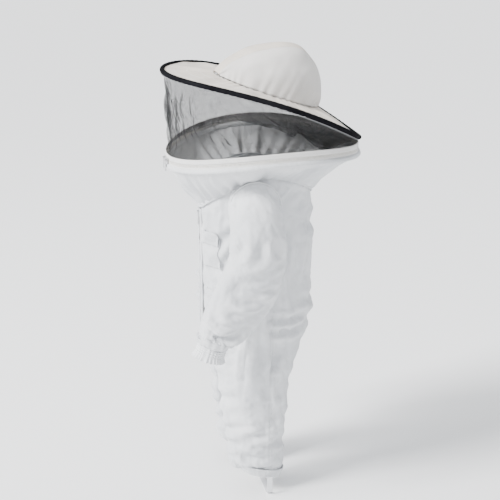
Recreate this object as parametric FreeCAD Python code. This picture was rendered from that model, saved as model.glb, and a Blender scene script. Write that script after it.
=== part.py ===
"""Child's beekeeping suit with a round veiled hat, as worn: a white cotton coverall that ends at
the neck in a flared collar on a steel hoop, a black net veil zipped to that hoop, and a soft brimmed
hat whose wired edge carries the top of the veil.

Millimetres, +Z up, the wearer faces -Y and the wearer's left is +X. Heights are written above the
sole of the foot. The origin is the carry point, midway between the wearer's shoulders, and every
solid is moved there when it is saved. Cloth is drawn as closed sheets of CLOTH thickness.
"""
import FreeCAD, Part
import os
from math import atan2, cos, pi, radians, sin, sqrt

V = FreeCAD.Vector

# ---- driving dimensions -------------------------------------------------------------------------
CARRY_HEIGHT = 700.0        # shoulder carry point above the soles
CLOTH = 2.0                 # drawn thickness of a sewn cotton layer
SEAM_GAP = 0.4              # clearance where two sewn panels meet
HAIRLINE = radians(0.12)    # half the slit where a panel's own edges meet

BODY_CENTRE_Y = -2.0
BODY_HALF_WIDTH = 125.0
BODY_BOTTOM = 360.0
BODY_SQUARENESS = 2.7       # exponent of the rounded-rectangle section, 2 is an ellipse
# height, half width, reach to the front, reach to the back
BODY_SECTIONS = [
    (360.0, 122.0, 128.0, 112.0),
    (400.0, 124.0, 128.0, 130.0),
    (440.0, 125.0, 128.0, 137.0),
    (515.0, 124.0, 128.0, 132.0),
    (590.0, 125.0, 128.0, 138.0),
    (640.0, 125.0, 128.0, 137.0),
    (690.0, 125.0, 128.0, 124.0),
    (752.0, 122.0, 126.0, 118.0),
]
SIDE_SEAM = radians(96)
NECK_FRONT, NECK_SIDE, NECK_BACK = 668.0, 752.0, 692.0

ZIP_HALF_GAP = 7.0          # half the space between the two front panels
ZIP_TOP, ZIP_BOTTOM = 660.0, 376.0
TOOTH_PITCH = 5.0
ZIP_PLANE = -127.0          # front face of the zip tapes

HOOP_R = 210.0              # collar hoop
HOOP_CENTRE = (0.0, 10.5, 772.0)
HOOP_PITCH = 2.5            # degrees, back edge up
HOOP_SADDLE = 28.0          # rise of the sides over the front and back
WIRE_R = 2.0
CASING_R = 5.5

BRIM_R = 225.0              # hat hoop
BRIM_CENTRE = (0.0, 7.0, 888.5)
BRIM_PITCH = -19.6          # degrees, front edge up
BRIM_SADDLE = 32.0
BINDING_R = 5.2

CROWN_LENGTH, CROWN_WIDTH = 236.0, 184.0
CROWN_BASE = 30.0           # crown seam above the plane of the brim's front and back tips
STRIP_HALF = 40.0
# crown's profile along its middle in the hat's own frame: distance back, height
CROWN_PROFILE = [(-117, 32), (-106, 58), (-86, 82), (-58, 106), (-4, 134), (36, 141), (68, 126),
                 (90, 107), (104, 82), (114, 55), (117, 32)]

SHOULDER = (127.4, -32.0, 688.0)    # centre of the left armhole
ARMHOLE_R = 57.0
ARMPIT = (129.0, 630.0)             # x and height
# height, middle from front to back, half depth, middle from side to side, half width
SLEEVE_SECTIONS = [
    (572.0, -43.0, 75.0, 180.0, 48.0),
    (540.0, -54.0, 81.0, 180.0, 48.0),
    (505.0, -72.0, 82.0, 180.0, 47.0),
    (460.0, -100.0, 68.0, 180.0, 45.0),
    (428.0, -124.0, 52.0, 180.0, 41.0),
]
CUFF_CENTRE = (180.0, -140.0, 399.0)
CUFF_AXIS = (0.0, -0.29, -0.957)    # out of the sleeve
CUFF_R, CUFF_WALL, CUFF_LENGTH = 29.0, 3.0, 22.0
RIGHT_ARM_BACK = 14.0               # degrees that the right arm hangs behind the left one

HIP = (-8.5, 350.0)                 # y and height of the hip axis
# height, front, back, middle from side to side, half width
LEG_SECTIONS = [
    (400.0, -80.0, 70.0, 62.0, 49.0),
    (375.0, -90.0, 82.0, 63.0, 52.5),
    (350.0, -96.0, 88.0, 63.0, 54.0),
    (320.0, -94.0, 76.0, 64.0, 54.0),
    (285.0, -86.0, 60.0, 65.0, 53.0),
    (250.0, -82.0, 60.0, 66.0, 52.0),
    (218.0, -83.0, 64.0, 67.0, 52.0),
    (183.0, -74.0, 53.0, 68.0, 50.0),
    (153.0, -68.0, 46.0, 69.0, 48.0),
    (125.0, -74.0, 45.0, 70.0, 49.0),
    (97.0, -84.0, 53.0, 72.0, 50.0),
]
# the hem slopes, so these rows carry the height at the front and at the back
LEG_END = [(82.0, 72.0, -76.0, 56.0, 73.0, 46.0), (66.0, 44.0, -64.0, 42.0, 74.0, 41.0)]
HEM_END = [(64.5, 42.5, -62.0, 40.0, 74.0, 39.0), (54.0, 30.0, -56.0, 36.0, 74.0, 37.0)]
STIRRUP_Y, STIRRUP_TOP, STIRRUP_WIDTH, STIRRUP_WALL = 4.0, 44.0, 12.0, 1.6
STIRRUP_SPAN = (27.0, 121.0)        # outer faces of the strap

os.makedirs("parts", exist_ok=True)


# ---- helpers ------------------------------------------------------------------------------------
def save(name, shape):
    """Writes one node, moved so that the carry point is the origin."""
    shape = shape.copy()
    shape.translate(V(0, 0, -CARRY_HEIGHT))
    if not shape.isValid():
        print("not valid:", name)
    for solid in shape.Solids:
        if solid.Volume <= 0:
            print("no volume:", name)
    shape.exportStep("parts/" + name + ".step")
    print("%-22s %3d solids %9.0f mm3" % (name, len(shape.Solids), shape.Volume))


def save_pair(name, left):
    """Writes a left-hand node and its mirror image."""
    save(name + "_left", left)
    save(name + "_right", left.mirror(V(0, 0, 0), V(1, 0, 0)))


def save_arms(name, left):
    """Writes a node of the left arm, and its mirror image turned back about the shoulder."""
    save(name + "_left", left)
    right = left.mirror(V(0, 0, 0), V(1, 0, 0))
    right.rotate(V(*SHOULDER), V(1, 0, 0), RIGHT_ARM_BACK)
    save(name + "_right", right)


def spread(low, high, count):
    return [low + (high - low) * i / (count - 1) for i in range(count)]


def table(rows, height, column):
    """Smooth value of a column of rows sorted by their first entry."""
    rows = sorted(rows)
    if height <= rows[0][0]:
        return rows[0][column]
    for (low, high) in zip(rows, rows[1:]):
        if height <= high[0]:
            t = (height - low[0]) / (high[0] - low[0])
            t = t * t * (3 - 2 * t)
            return low[column] + (high[column] - low[column]) * t
    return rows[-1][column]


def skin(point, us, vs):
    surface = Part.BSplineSurface()
    surface.interpolate([[point(u, v) for v in vs] for u in us])
    return surface.toShape()


def panel(outer, inner, us, vs):
    """Closed sheet between two surfaces given as functions of u and v."""
    faces = []
    for side in (outer, inner):
        faces.append(skin(side, us, vs))
    edges = []
    for face in faces:
        surface = face.Surface
        (u0, u1, v0, v1) = surface.bounds()
        edges.append([surface.uIso(u0).toShape(), surface.uIso(u1).toShape(),
                      surface.vIso(v0).toShape(), surface.vIso(v1).toShape()])
    for (a, b) in zip(edges[0], edges[1]):
        faces.append(Part.makeRuledSurface(a, b))
    shell = Part.Shell(faces)
    shell.sewShape(0.001)
    solid = Part.Solid(shell)
    if solid.Volume < 0:
        solid.reverse()
    return solid


def tube(path, radius, hole=0.0):
    """Round bar along an open list of points, with a smaller round hole if asked."""
    curve = Part.BSplineCurve()
    curve.interpolate(path)
    wire = Part.Wire([curve.toShape()])
    along = curve.tangent(curve.FirstParameter)[0]

    def swept(r):
        circle = Part.Wire([Part.makeCircle(r, path[0], along)])
        return wire.makePipeShell([circle], True, False)

    solid = swept(radius)
    return solid.cut(swept(hole)) if hole else solid


def box(low, high):
    return Part.makeBox(high[0] - low[0], high[1] - low[1], high[2] - low[2], V(*low))


def tilted(point, pitch, centre):
    """A point of a ring's own frame, pitched about X and set at its centre."""
    a = radians(pitch)
    return V(centre[0] + point.x,
             centre[1] + point.y * cos(a) - point.z * sin(a),
             centre[2] + point.y * sin(a) + point.z * cos(a))


def rounded(angle, half_width, front, back, power):
    """Rounded-rectangle section: angle 0 is the front, and it grows towards the wearer's left."""
    reach = front if cos(angle) > 0 else back
    r = (abs(sin(angle) / half_width) ** power + abs(cos(angle) / reach) ** power) ** (-1 / power)
    return (r * sin(angle), -r * cos(angle))


FULL_TURN = spread(HAIRLINE - pi, pi - HAIRLINE, 41)     # the slit is at the back


# ---- body of the coverall -----------------------------------------------------------------------
def neck_height(angle):
    side = sin(angle) ** 2
    end = NECK_FRONT if cos(angle) > 0 else NECK_BACK
    return end + (NECK_SIDE - end) * side ** 0.8


def body_point(angle, height, inset):
    (x, y) = rounded(angle, table(BODY_SECTIONS, height, 1) - inset,
                     table(BODY_SECTIONS, height, 2) - inset,
                     table(BODY_SECTIONS, height, 3) - inset, BODY_SQUARENESS)
    return V(x, BODY_CENTRE_Y + y, height)


def body_sheet(first, last, inset, low=None, high=None, columns=15, thick=CLOTH):
    """Cloth on the body from one angle to another; low and high replace the hem and the neck."""
    def place(depth):
        def point(angle, share):
            bottom = BODY_BOTTOM if low is None else low
            top = neck_height(angle) if high is None else high
            return body_point(angle, bottom + (top - bottom) * share, depth)
        return point
    return panel(place(inset), place(inset + thick), spread(first, last, columns),
                 spread(0, 1, 11))


def front_edge():
    """Angle at which a front panel stops beside the zip."""
    return atan2(ZIP_HALF_GAP, BODY_SECTIONS[3][2])


def armholes():
    """Round cutters through both sides of the body."""
    length = 40.0
    return Part.makeCylinder(ARMHOLE_R, 2 * (SHOULDER[0] + length),
                             V(-SHOULDER[0] - length, SHOULDER[1], SHOULDER[2]), V(1, 0, 0))


def make_body():
    seam = SEAM_GAP / BODY_HALF_WIDTH
    front = body_sheet(front_edge(), SIDE_SEAM - seam, 0).cut(armholes())
    save_pair("front_panel", front)
    back = body_sheet(SIDE_SEAM + seam, 2 * pi - SIDE_SEAM - seam, 0, columns=25).cut(armholes())
    save("back_panel", back)


def make_crotch_gusset():
    """Narrow strip between the legs that joins the front of the body to its back."""
    half, drop = 6.0, 32.0
    front, back = -118.0, 106.0

    def place(lift):
        def point(along, side):
            y = front + (back - front) * along
            z = BODY_BOTTOM - SEAM_GAP - lift - drop * sin(pi * along) ** 0.7
            return V(half * side, y, z)
        return point
    save("crotch_gusset", panel(place(CLOTH), place(0), spread(0.02, 0.98, 13),
                                spread(-1, 1, 4)))


def make_waist_elastic():
    """Elastic inside the back of the waist."""
    save("waist_elastic", body_sheet(radians(112), radians(248), CLOTH + 0.5, 500, 525, 17, 1.5))


def make_pockets():
    """Patch pockets, each a sheet on top of the panel that carries it."""
    lift = CLOTH + 0.5
    save("chest_pocket", body_sheet(radians(17), radians(44), -lift, 540, 612, 9))
    hip = body_sheet(radians(16), radians(42), -lift, 405, 490, 9)
    save_pair("hip_pocket", hip)


def make_pocket_flap():
    """Flap over the chest pocket, hinged along its top edge."""
    lift = 2 * (CLOTH + 0.5) + 0.5
    top = 624.0
    first, last = radians(16), radians(45)
    save("pocket_flap", body_sheet(first, last, -lift, 592, top, 9, 1.6))
    ends = [body_point(angle, top, -lift) for angle in (first, last)]
    print("  flap hinge from %s to %s" % (rounded_text(ends[0]), rounded_text(ends[1])))


# ---- front zip ----------------------------------------------------------------------------------
def make_front_zip():
    tape_inner, tape_outer, tape_wall = 2.3, 16.0, 1.0
    teeth_low, teeth_high = ZIP_BOTTOM + 6, ZIP_TOP - 4
    count = int((teeth_high - teeth_low) / TOOTH_PITCH)
    back = ZIP_PLANE + tape_wall
    tape = box((tape_inner, ZIP_PLANE, ZIP_BOTTOM), (tape_outer, back, ZIP_TOP + 6))
    save_pair("zip_tape", tape)

    tooth_front, tooth_back, tooth_height = ZIP_PLANE - 2.0, ZIP_PLANE + 0.9, 2.0
    for (name, side, shift) in (("left", 1, 0), ("right", -1, TOOTH_PITCH / 2)):
        teeth = []
        for i in range(count):
            z = teeth_low + shift + i * TOOTH_PITCH
            xs = sorted((side * (tape_inner - 0.1), side * -0.9))
            teeth.append(box((xs[0], tooth_front, z), (xs[1], tooth_back, z + tooth_height)))
        save("zip_teeth_" + name, Part.makeCompound(teeth))

    stops = [box((-3.2, ZIP_PLANE - 2.2, ZIP_BOTTOM + 1), (3.2, ZIP_PLANE - 0.2, ZIP_BOTTOM + 5))]
    for side in (1, -1):
        xs = sorted((side * 2.4, side * 5.0))
        stops.append(box((xs[0], ZIP_PLANE - 2.2, ZIP_TOP + 1),
                         (xs[1], ZIP_PLANE - 0.2, ZIP_TOP + 4)))
    save("zip_stops", Part.makeCompound(stops))


def make_zip_guards():
    """Folded cloth edges that run beside the zip and stand over its tapes."""
    inner, outer, wall = 6.4, 19.0, 1.4
    front = BODY_CENTRE_Y - BODY_SECTIONS[4][2] - 1.2
    guard = box((inner, front - wall, BODY_BOTTOM + 4), (outer, front, NECK_FRONT - 3))
    guard = guard.makeFillet(0.5, guard.Edges)
    save_pair("zip_guard", guard)


SLIDER_TOP = ZIP_TOP - 2
SLIDER_FRONT = ZIP_PLANE - 2.6
PIVOT = (SLIDER_FRONT - 4.4, SLIDER_TOP - 5.0)      # y and height of the pull's pin


def make_zip_slider():
    """Front shell of the slider with its two flanges and the bridge that holds the pull."""
    half, plate, length, flange = 5.4, 1.6, 13.0, 1.3
    body = box((-half, SLIDER_FRONT - plate, SLIDER_TOP - length), (half, SLIDER_FRONT, SLIDER_TOP))
    body = body.makeFillet(0.7, body.Edges)
    for side in (1, -1):
        xs = sorted((side * half, side * (half - flange)))
        body = body.fuse(box((xs[0], SLIDER_FRONT - 0.8, SLIDER_TOP - length + 1.5),
                             (xs[1], ZIP_PLANE - 0.4, SLIDER_TOP - 1.5)))
    for side in (1, -1):
        xs = sorted((side * 2.2, side * 3.6))
        ear = box((xs[0], PIVOT[0] - 1.8, PIVOT[1] - 1.8), (xs[1], SLIDER_FRONT - 0.6,
                                                           PIVOT[1] + 1.8))
        body = body.fuse(ear)
    pin = Part.makeCylinder(0.9, 6.4, V(-3.2, PIVOT[0], PIVOT[1]), V(1, 0, 0))
    save("zip_slider", body.fuse(pin).removeSplitter())


def pull_tab(width, length, wall):
    """Pull in its own frame: the pin's hole is at the origin and the tab hangs down -Z."""
    head = Part.makeCylinder(1.9, 2 * 1.9, V(-1.9, 0, 0), V(1, 0, 0))
    stem = box((-1.6, -wall / 2, -6.0), (1.6, wall / 2, -1.0))
    tab = box((-width / 2, -wall / 2, -length), (width / 2, wall / 2, -5.0))
    tab = tab.makeFillet(wall * 0.4, tab.Edges)
    slot = box((-width / 2 + 1.5, -wall, -length + 2.5), (width / 2 - 1.5, wall, -length + 6.0))
    bore = Part.makeCylinder(0.96, 2 * 2.5, V(-2.5, 0, 0), V(1, 0, 0))
    return head.fuse(stem).fuse(tab).cut(slot).cut(bore)


def make_zip_pull():
    pull = pull_tab(7.0, 30.0, 1.8)
    pull.translate(V(0, PIVOT[0], PIVOT[1]))
    save("zip_pull", pull)


# ---- collar and its zip -------------------------------------------------------------------------
def ring_point(angle, out, up, radius=HOOP_R, saddle=HOOP_SADDLE, pitch=HOOP_PITCH,
               centre=HOOP_CENTRE):
    """Point of a saddle-shaped ring, moved outwards and upwards in the ring's own frame."""
    r = radius + out
    return tilted(V(r * sin(angle), -r * cos(angle), saddle * sin(angle) ** 2 + up), pitch, centre)


def ring_band(out, low, high, wall=CLOTH, first=None, last=None, **ring):
    """Upright ribbon that follows a ring."""
    angles = FULL_TURN if first is None else spread(first, last, 25)

    def place(offset):
        def point(angle, up):
            return ring_point(angle, offset, up, **ring)
        return point
    return panel(place(out), place(out - wall), angles, spread(low, high, 4))


def ring_tube(out, up, bar, hole=0.0, **ring):
    path = [ring_point(a, out, up, **ring) for a in FULL_TURN]
    return tube(path, bar, hole)


def make_yoke():
    """Flared cloth from the neck of the body up to the collar casing, in a front and a back."""
    foot = SEAM_GAP + 0.2

    def place(inset):
        def point(angle, share):
            low = body_point(angle, neck_height(angle), inset)
            low.z += foot
            high = ring_point(angle, -1.0 - inset, -CASING_R - SEAM_GAP)
            p = low + (high - low) * share
            sag = 10.0 * sin(pi * share) * max(0.0, -cos(angle)) ** 2
            return V(p.x, p.y + sag, p.z)
        return point
    seam = SEAM_GAP / BODY_HALF_WIDTH
    for (name, first, last) in (("yoke_front", -SIDE_SEAM + seam, SIDE_SEAM - seam),
                                ("yoke_back", SIDE_SEAM + seam, 2 * pi - SIDE_SEAM - seam)):
        save(name, panel(place(0), place(CLOTH), spread(first, last, 29), spread(0, 1, 7)))


def make_collar():
    save("collar_hoop", ring_tube(0, 0, WIRE_R))
    save("collar_casing", ring_tube(0, 0, CASING_R, WIRE_R + 0.1))
    save("lower_zip_tape", ring_band(0.8, CASING_R + 0.3, CASING_R + 3.2, 1.6))
    save("lower_zip_coil", ring_tube(0, CASING_R + 4.7, 1.2))


def make_veil_band():
    save("upper_zip_coil", ring_tube(0, CASING_R + 7.4, 1.2))
    save("upper_zip_tape", ring_band(0.8, CASING_R + 8.9, CASING_R + 20.0, 1.6))


MID_ZIP = CASING_R + 6.0    # middle of the veil zip above the collar hoop
VEIL_SLIDER_TURN = 4.0      # degrees that each veil slider stands off the front tip


def osculating_axis():
    """Centre and direction of the circle that fits the veil zip best at its front tip.

    A veil slider turns about it, and over 40 degrees that circle stays within 2 mm of the zip.
    """
    bend = sqrt(HOOP_R ** 2 + 4 * HOOP_SADDLE ** 2)
    rho = HOOP_R ** 2 / bend
    normal = V(0, HOOP_R / bend, 2 * HOOP_SADDLE / bend)
    centre = V(0, -HOOP_R, MID_ZIP) + normal * rho
    turned = V(1, 0, 0).cross(normal)
    middle = tilted(centre, HOOP_PITCH, HOOP_CENTRE)
    direction = tilted(turned, HOOP_PITCH, (0, 0, 0))
    return (middle, direction)


def make_veil_sliders():
    """Two sliders that meet at the front of the collar, each with a pull that hangs outside."""
    tip = ring_point(0, 0, 0)
    (middle, direction) = osculating_axis()
    front = tip.y - 3.0
    z = tip.z + MID_ZIP
    plate = box((-5.5, front - 1.6, z - 4.6), (5.5, front, z + 4.6))
    plate = plate.makeFillet(0.6, plate.Edges)
    pin_y, pin_z = front - 4.2, z + 1.0
    for side in (1, -1):
        xs = sorted((side * 2.2, side * 3.6))
        plate = plate.fuse(box((xs[0], pin_y - 1.7, pin_z - 1.7), (xs[1], front - 0.5,
                                                                   pin_z + 1.7)))
    plate = plate.fuse(Part.makeCylinder(0.9, 6.4, V(-3.2, pin_y, pin_z), V(1, 0, 0)))
    pull = pull_tab(6.0, 24.0, 1.6)
    pull.translate(V(0, pin_y, pin_z))
    for (name, turn) in (("left", VEIL_SLIDER_TURN), ("right", -VEIL_SLIDER_TURN)):
        for (node, shape) in (("veil_slider_", plate), ("veil_pull_", pull)):
            moved = shape.copy()
            moved.rotate(middle, direction, turn)
            save(node + name, moved)
        pin = V(0, pin_y, pin_z)
        spin = FreeCAD.Rotation(direction, turn)
        place = spin.multVec(pin - middle) + middle
        axis = spin.multVec(V(1, 0, 0))
        print("  veil pull %s pin at %s axis %s" % (name, rounded_text(place), rounded_text(axis)))
    print("  veil slider axis through %s along %s" % (rounded_text(middle),
                                                      rounded_text(direction)))


def rounded_text(v):
    return "(%.3f, %.3f, %.3f)" % (v.x, v.y, v.z)


# ---- veil and hat -------------------------------------------------------------------------------
BRIM = dict(radius=BRIM_R, saddle=BRIM_SADDLE, pitch=BRIM_PITCH, centre=BRIM_CENTRE)


def veil_point(angle, share, inset):
    low = ring_point(angle, -inset, CASING_R + 20.4)
    high = ring_point(angle, -4.0 - inset, -BINDING_R - 0.8, **BRIM)
    p = low + (high - low) * share
    pinch = 1 - 0.06 * sin(pi * share)
    return V(p.x * pinch, 8 + (p.y - 8) * pinch, p.z)


def make_veil():
    def outer(angle, share):
        return veil_point(angle, share, 0)

    def inner(angle, share):
        return veil_point(angle, share, 1.0)
    save("veil_mesh", panel(outer, inner, FULL_TURN, spread(0, 1, 7)))


def hat_point(x, back, up):
    return tilted(V(x, back, up), BRIM_PITCH, BRIM_CENTRE)


def crown_base(angle, inset=0.0):
    """Seam between crown and brim in the hat's own frame."""
    return V((CROWN_WIDTH / 2 - inset) * sin(angle), -(CROWN_LENGTH / 2 - inset) * cos(angle),
             CROWN_BASE)


def make_brim():
    def sheet(top):
        def place(up):
            def point(angle, share):
                low = crown_base(angle, -1.0)
                edge = BRIM_R - BINDING_R - 0.8
                high = V(edge * sin(angle), -edge * cos(angle), BRIM_SADDLE * sin(angle) ** 2)
                p = low + (high - low) * share
                return hat_point(p.x, p.y, p.z + up)
            return point
        return panel(place(top), place(top - 1.2), FULL_TURN, spread(0, 1, 5))
    save("brim_top", sheet(1.4))
    save("brim_under", sheet(-0.2))
    save("brim_hoop", ring_tube(0, 0, WIRE_R, **BRIM))
    save("brim_binding", ring_tube(0, 0, BINDING_R, WIRE_R + 0.1, **BRIM))


def profile_point(share):
    """Crown's middle line at a share of its length, from a smooth curve through its profile."""
    curve = Part.BSplineCurve()
    curve.interpolate([V(0, y, z) for (y, z) in CROWN_PROFILE])
    low, high = curve.FirstParameter, curve.LastParameter
    return curve.value(low + (high - low) * share)


def shrunk(p, inset):
    """Moves a crown point towards the middle of the crown's base."""
    middle = V(0, 0, CROWN_BASE)
    way = p - middle
    return middle + way * (1 - inset / max(way.Length, 1.0))


def crown_edge(share, side):
    """Seam between the centre strip and a side panel."""
    p = profile_point(share)
    drop = 5.0 * sin(pi * share)
    half = STRIP_HALF * (0.72 + 0.28 * sin(pi * share))
    return V(side * half, p.y * 0.985, p.z - drop)


def make_crown():
    def strip(inset):
        def point(share, across):
            edge = crown_edge(share, across)
            mid = profile_point(share)
            bow = 1 - across * across
            p = V(edge.x, edge.y + (mid.y - edge.y) * bow, edge.z + (mid.z - edge.z) * bow)
            p = shrunk(p, inset)
            return hat_point(p.x, p.y, p.z + 2.4)
        return point

    shares = spread(0.0, 1.0, 23)
    save("crown_centre", panel(strip(0), strip(CLOTH), shares, spread(-1, 1, 7)))

    def flank(inset):
        def point(share, down):
            edge = crown_edge(share, 1.0)
            edge.x += SEAM_GAP + 0.3
            low = crown_base(radians(18) + radians(144) * share)
            q = pi / 2 * down
            p = V(edge.x + (low.x - edge.x) * sin(q), edge.y + (low.y - edge.y) * down,
                  edge.z + (low.z - edge.z) * (1 - cos(q)))
            p = shrunk(p, inset)
            return hat_point(p.x, p.y, p.z + 2.4)
        return point
    save_pair("crown_side", panel(flank(0), flank(CLOTH), shares, spread(0, 1, 9)))


def make_sweatband():
    def place(inset):
        def point(angle, up):
            p = crown_base(angle, inset)
            return hat_point(p.x, p.y, p.z + up)
        return point
    save("sweatband", panel(place(6.0), place(7.6), FULL_TURN, spread(-18.0, 0.0, 4)))


# ---- sleeves ------------------------------------------------------------------------------------
def sleeve_rows():
    """Centre, across and forward directions, and half sizes along them, of each sleeve section."""
    rows = []
    ahead = V(0, -1, 0)
    armpit_drop = 26.0
    top_reach = SHOULDER[2] + ARMHOLE_R - ARMPIT[1]
    rows.append((V(*SHOULDER), V(0, 0, 1), ahead, ARMHOLE_R, ARMHOLE_R))
    for (turn, reach, depth) in ((28, top_reach + 2, 59.0), (58, 108.0, 62.0), (90, 98.0, 66.0)):
        across = V(sin(radians(turn)), 0, cos(radians(turn)))
        share = turn / 90.0
        foot = V(ARMPIT[0] + 3 * share, SHOULDER[1] - 2 * share,
                 ARMPIT[1] - armpit_drop * share ** 1.5)
        rows.append((foot + across * (reach / 2), across, ahead, reach / 2, depth))
    for (z, y, depth, x, half) in SLEEVE_SECTIONS:
        rows.append((V(x, y, z), V(1, 0, 0), ahead, half, depth))
    neck = V(*CUFF_CENTRE) - V(*CUFF_AXIS) * (CUFF_LENGTH / 2 + SEAM_GAP)
    towards = V(0, CUFF_AXIS[2], -CUFF_AXIS[1])
    rows.append((neck, V(1, 0, 0), towards, CUFF_R + CUFF_WALL, CUFF_R + CUFF_WALL))
    return rows


def sleeve_ring(row, turn, inset):
    (centre, across, forward, half, depth) = row
    return (centre + across * ((half - inset) * -sin(turn))
            + forward * ((depth - inset) * cos(turn)))


def make_sleeves():
    rows = sleeve_rows()
    last = len(rows) - 1

    def place(inset):
        def point(turn, index):
            base = min(int(index), last - 1)
            low = sleeve_ring(rows[base], turn, inset)
            high = sleeve_ring(rows[base + 1], turn, inset)
            return low + (high - low) * (index - base)
        return point
    for (name, first) in (("sleeve_back", pi / 2), ("sleeve_front", 3 * pi / 2)):
        turns = spread(first + HAIRLINE, first + pi - HAIRLINE, 17)
        save_arms(name, panel(place(0), place(CLOTH), turns, spread(0, last, 3 * last + 1)))

    start = V(*CUFF_CENTRE) - V(*CUFF_AXIS) * (CUFF_LENGTH / 2)
    ring = Part.makeCylinder(CUFF_R + CUFF_WALL, CUFF_LENGTH, start, V(*CUFF_AXIS))
    hole = Part.makeCylinder(CUFF_R, CUFF_LENGTH + 2, start - V(*CUFF_AXIS), V(*CUFF_AXIS))
    ring = ring.cut(hole)
    save_arms("cuff", ring)


# ---- legs and stirrups --------------------------------------------------------------------------
def leg_row(row, turn, inset):
    (z_front, z_back, front, back, x, half) = row
    (dx, dy) = rounded(turn, half - inset, (back - front) / 2 - inset, (back - front) / 2 - inset,
                       2.3)
    y = (front + back) / 2 + dy
    share = (y - front) / (back - front)
    return V(x + dx, y, z_front + (z_back - z_front) * share)


def leg_sheet(rows, inset=0.0, wall=CLOTH):
    if len(rows) < 4:
        (first, last) = rows
        rows = [tuple(a + (b - a) * t for (a, b) in zip(first, last)) for t in spread(0, 1, 4)]

    def place(depth):
        def point(turn, index):
            return leg_row(rows[int(round(index))], turn, depth)
        return point
    turns = spread(HAIRLINE - pi / 2, 3 * pi / 2 - HAIRLINE, 33)
    return panel(place(inset), place(inset + wall), turns, list(range(len(rows))))


def make_legs():
    rows = [(z, z, front, back, x, half) for (z, front, back, x, half) in LEG_SECTIONS]
    save_pair("leg", leg_sheet(rows + LEG_END))
    save_pair("hem", leg_sheet(HEM_END, 0.0, 2.6))


def make_stirrups():
    """Elastic loop under each foot, sewn to both sides of the hem."""
    (x0, x1) = STIRRUP_SPAN
    corner = 14.0

    def outline(inset):
        (a, b, low, r) = (x0 + inset, x1 - inset, inset, corner - inset)
        top = STIRRUP_TOP
        d = r * (1 - cos(pi / 4))
        p = [V(a, 0, top), V(a, 0, low + r), V(a + d, 0, low + d), V(a + r, 0, low),
             V(b - r, 0, low), V(b - d, 0, low + d), V(b, 0, low + r), V(b, 0, top)]
        return [Part.LineSegment(p[0], p[1]).toShape(), Part.Arc(p[1], p[2], p[3]).toShape(),
                Part.LineSegment(p[3], p[4]).toShape(), Part.Arc(p[4], p[5], p[6]).toShape(),
                Part.LineSegment(p[6], p[7]).toShape()], p
    (outer, po) = outline(0.0)
    (inner, pi_) = outline(STIRRUP_WALL)
    joins = [Part.LineSegment(po[-1], pi_[-1]).toShape(), Part.LineSegment(pi_[0], po[0]).toShape()]
    wire = Part.Wire(Part.__sortEdges__(outer + joins + inner))
    strap = Part.Face(wire).extrude(V(0, STIRRUP_WIDTH, 0))
    strap.translate(V(0, STIRRUP_Y - STIRRUP_WIDTH / 2, 0))
    save_pair("stirrup", strap)


print("shoulder hinges through x = +-%.1f, y = %.1f, z = %.1f" % SHOULDER)
print("hip hinges through y = %.1f, z = %.1f" % HIP)
make_body()
make_crotch_gusset()
make_waist_elastic()
make_pockets()
make_pocket_flap()
make_front_zip()
make_zip_guards()
make_zip_slider()
make_zip_pull()
make_yoke()
make_collar()
make_veil_band()
make_veil_sliders()
make_veil()
make_brim()
make_crown()
make_sweatband()
make_sleeves()
make_legs()
make_stirrups()
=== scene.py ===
"""Looks of a child's beekeeping suit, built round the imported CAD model.

Metres, +Z up, the wearer faces -Y and the wearer's left is +X. The origin is the carry point between
the shoulders, SOLE metres above the soles. Cloth is draped by simulation over a plain inner form,
then cut along its seams. Trim, stitches, net and hardware are made after that.
"""
import bpy
import bmesh
import math
import numpy as np
from mathutils import Matrix, Vector, noise
from mathutils.bvhtree import BVHTree
from mathutils.kdtree import KDTree


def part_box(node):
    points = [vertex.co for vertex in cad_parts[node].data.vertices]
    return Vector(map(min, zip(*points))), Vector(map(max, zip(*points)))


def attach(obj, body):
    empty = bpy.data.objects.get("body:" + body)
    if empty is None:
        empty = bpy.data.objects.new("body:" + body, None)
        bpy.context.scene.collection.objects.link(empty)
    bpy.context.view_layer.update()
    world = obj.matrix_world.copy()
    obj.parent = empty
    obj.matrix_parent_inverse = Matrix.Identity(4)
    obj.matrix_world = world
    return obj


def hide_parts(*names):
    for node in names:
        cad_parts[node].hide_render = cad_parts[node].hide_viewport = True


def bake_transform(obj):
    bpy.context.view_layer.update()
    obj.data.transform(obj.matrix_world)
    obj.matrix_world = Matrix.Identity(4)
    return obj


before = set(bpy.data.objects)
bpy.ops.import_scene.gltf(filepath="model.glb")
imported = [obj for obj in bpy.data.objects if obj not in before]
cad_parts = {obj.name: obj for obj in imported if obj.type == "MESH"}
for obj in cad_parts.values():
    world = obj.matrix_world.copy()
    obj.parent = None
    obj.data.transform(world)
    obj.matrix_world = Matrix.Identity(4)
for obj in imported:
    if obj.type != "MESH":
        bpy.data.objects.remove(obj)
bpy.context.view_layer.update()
SOLE = 0.700
RNG = np.random.default_rng(7)


def at(x, y, height):
    """Point given by its height above the soles."""
    return Vector((x, y, height - SOLE))


# ---- camera, light, floor -----------------------------------------------------------------------
CAMERA_AZIMUTH = math.radians(78)
CAMERA_DISTANCE = 2.60
CAMERA_HEIGHT = 1.400
CAMERA_PITCH = math.radians(18)
AIM_Y = -0.017
LENS_MM = 87.5
SUN_STRENGTH = 6.5
SUN_FROM = (0.22, -0.80, 0.62)


def make_camera():
    data = bpy.data.cameras.new("camera")
    data.lens = LENS_MM
    camera = bpy.data.objects.new("camera", data)
    camera.location = at(CAMERA_DISTANCE * math.sin(CAMERA_AZIMUTH),
                         AIM_Y - CAMERA_DISTANCE * math.cos(CAMERA_AZIMUTH), CAMERA_HEIGHT)
    camera.rotation_euler = (math.pi / 2 - CAMERA_PITCH, 0, CAMERA_AZIMUTH)
    bpy.context.scene.collection.objects.link(camera)
    bpy.context.scene.camera = camera


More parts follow.
